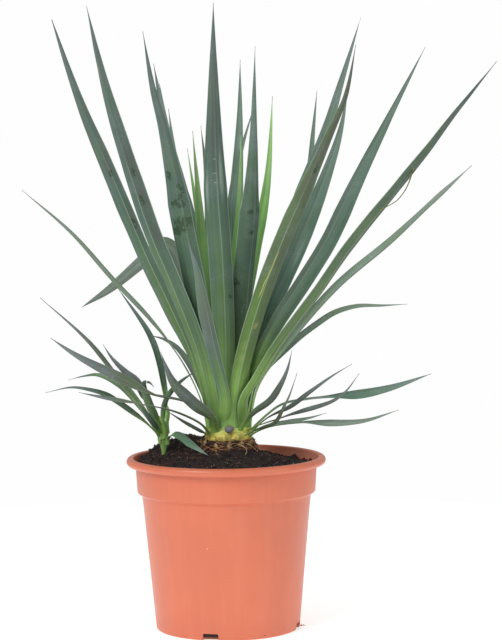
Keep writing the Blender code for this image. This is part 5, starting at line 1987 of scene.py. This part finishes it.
# Each light's place, width and colour, in metres, and the place that both point at
KEY_LIGHT = ((-1.5, -1.9, 1.9), 1.5, (1.0, 0.99, 0.97))
FILL_LIGHT = ((1.9, -1.3, 1.0), 1.4, (0.97, 0.99, 1.0))
LIGHTS_AIM = (0.0, 0.0, 0.3)
FLOOR_RINGS = ((900, -4.0), (900, -0.5), (899, 0.0))
FLOOR_GREY = 0.9
FLOOR_GLOW = 0.52
WHITE = (1.0, 1.0, 1.0, 1.0)


def build_camera():
    """The camera at the photograph's angle."""
    data = bpy.data.cameras.new("camera")
    data.sensor_width = SENSOR
    data.lens = FOCAL_PIXELS / FRAME_PIXELS * SENSOR
    data.shift_x = CENTRE_SHIFT_PIXELS / FRAME_PIXELS
    camera = link_object("camera", data)
    tilt = Euler((math.pi / 2 - CAMERA_PITCH, 0.0, 0.0)).to_matrix()
    roll = Euler((0.0, 0.0, CAMERA_ROLL)).to_matrix()
    camera.matrix_world = (tilt @ roll).to_4x4()
    camera.location = CAMERA_PLACE
    bpy.context.scene.camera = camera


def build_light(name, light, power):
    """A large soft light that points at the plant."""
    place, size, tint = light
    data = bpy.data.lights.new(name, "AREA")
    data.shape = "DISK"
    data.size = size
    data.energy = power
    data.color = tint
    lamp = link_object(name, data)
    lamp.location = place
    lamp.rotation_euler = (Vector(LIGHTS_AIM) - Vector(place)).to_track_quat("-Z", "Y").to_euler()


def build_studio(look):
    """White all round for the camera, and soft light from all round for the plant."""
    world = bpy.data.worlds.new("studio")
    bpy.context.scene.world = world
    world.use_nodes = True
    tree = world.node_tree
    seen = node(tree, "ShaderNodeLightPath").outputs["Is Camera Ray"]
    glow = spread(tree, seen, 0.0, 1.0, look.ambient, look.backdrop, smooth=False)
    tree.links.new(glow, tree.nodes["Background"].inputs["Strength"])
    tree.nodes["Background"].inputs["Color"].default_value = WHITE


def build_floor():
    """A plain pale floor that stays white under the pot."""
    rings = [circle(radius, height, 96) for radius, height in FLOOR_RINGS]
    floor = link_object("floor", mesh_from_rings("floor", rings))
    made, _, shader = new_material("floor_finish")
    shader.inputs["Base Color"].default_value = (FLOOR_GREY, FLOOR_GREY, FLOOR_GREY, 1.0)
    shader.inputs["Roughness"].default_value = 0.9
    shader.inputs["Specular IOR Level"].default_value = 0.0
    shader.inputs["Emission Color"].default_value = WHITE
    shader.inputs["Emission Strength"].default_value = FLOOR_GLOW
    floor.data.materials.append(made)


class YUCCA_OT_stage(bpy.types.Operator):
    """Make the floor, the soft light and the camera"""
    bl_idname = "yucca.stage"
    bl_label = "Stage"

    def execute(self, context):
        look = settings("stage")
        context.scene.view_settings.view_transform = "Standard"
        build_studio(look)
        build_floor()
        build_light("key", KEY_LIGHT, look.key_power)
        build_light("fill", FILL_LIGHT, look.fill_power)
        build_camera()
        return {"FINISHED"}


# The add-on

GROUPS = (("pot", YuccaPotSettings), ("soil", YuccaSoilSettings), ("crown", YuccaCrownSettings),
          ("leaves", YuccaLeafSettings), ("stage", YuccaStageSettings))
OPERATORS = (YUCCA_OT_pot, YUCCA_OT_soil, YUCCA_OT_crown, YUCCA_OT_root_collar,
             YUCCA_OT_main_leaves, YUCCA_OT_low_leaves, YUCCA_OT_offset, YUCCA_OT_stage)


class YUCCA_PT_panel(bpy.types.Panel):
    """The yucca's pieces and settings"""
    bl_idname = "YUCCA_PT_panel"
    bl_label = "Potted Yucca"
    bl_space_type = "VIEW_3D"
    bl_region_type = "UI"
    bl_category = "Yucca"

    def draw(self, context):
        for operator in OPERATORS:
            self.layout.operator(operator.bl_idname)
        for name, group in GROUPS:
            box = self.layout.box()
            box.label(text=group.__doc__)
            for key in group.__annotations__:
                box.prop(getattr(context.scene, "yucca_" + name), key)


def register():
    """Register the settings, the operators and the panel."""
    for name, group in GROUPS:
        bpy.utils.register_class(group)
        setattr(bpy.types.Scene, "yucca_" + name, PointerProperty(type=group))
    for operator in OPERATORS:
        bpy.utils.register_class(operator)
    bpy.utils.register_class(YUCCA_PT_panel)


def unregister():
    """Remove what register adds."""
    bpy.utils.unregister_class(YUCCA_PT_panel)
    for operator in reversed(OPERATORS):
        bpy.utils.unregister_class(operator)
    for name, group in reversed(GROUPS):
        delattr(bpy.types.Scene, "yucca_" + name)
        bpy.utils.unregister_class(group)


def main():
    """Dress the whole plant."""
    register()
    build_effects()
    build_sweep_tree()
    build_scatter_tree()
    for operator in OPERATORS:
        group, _, action = operator.bl_idname.partition(".")
        getattr(getattr(bpy.ops, group), action)()


if __name__ == "__main__":
    main()
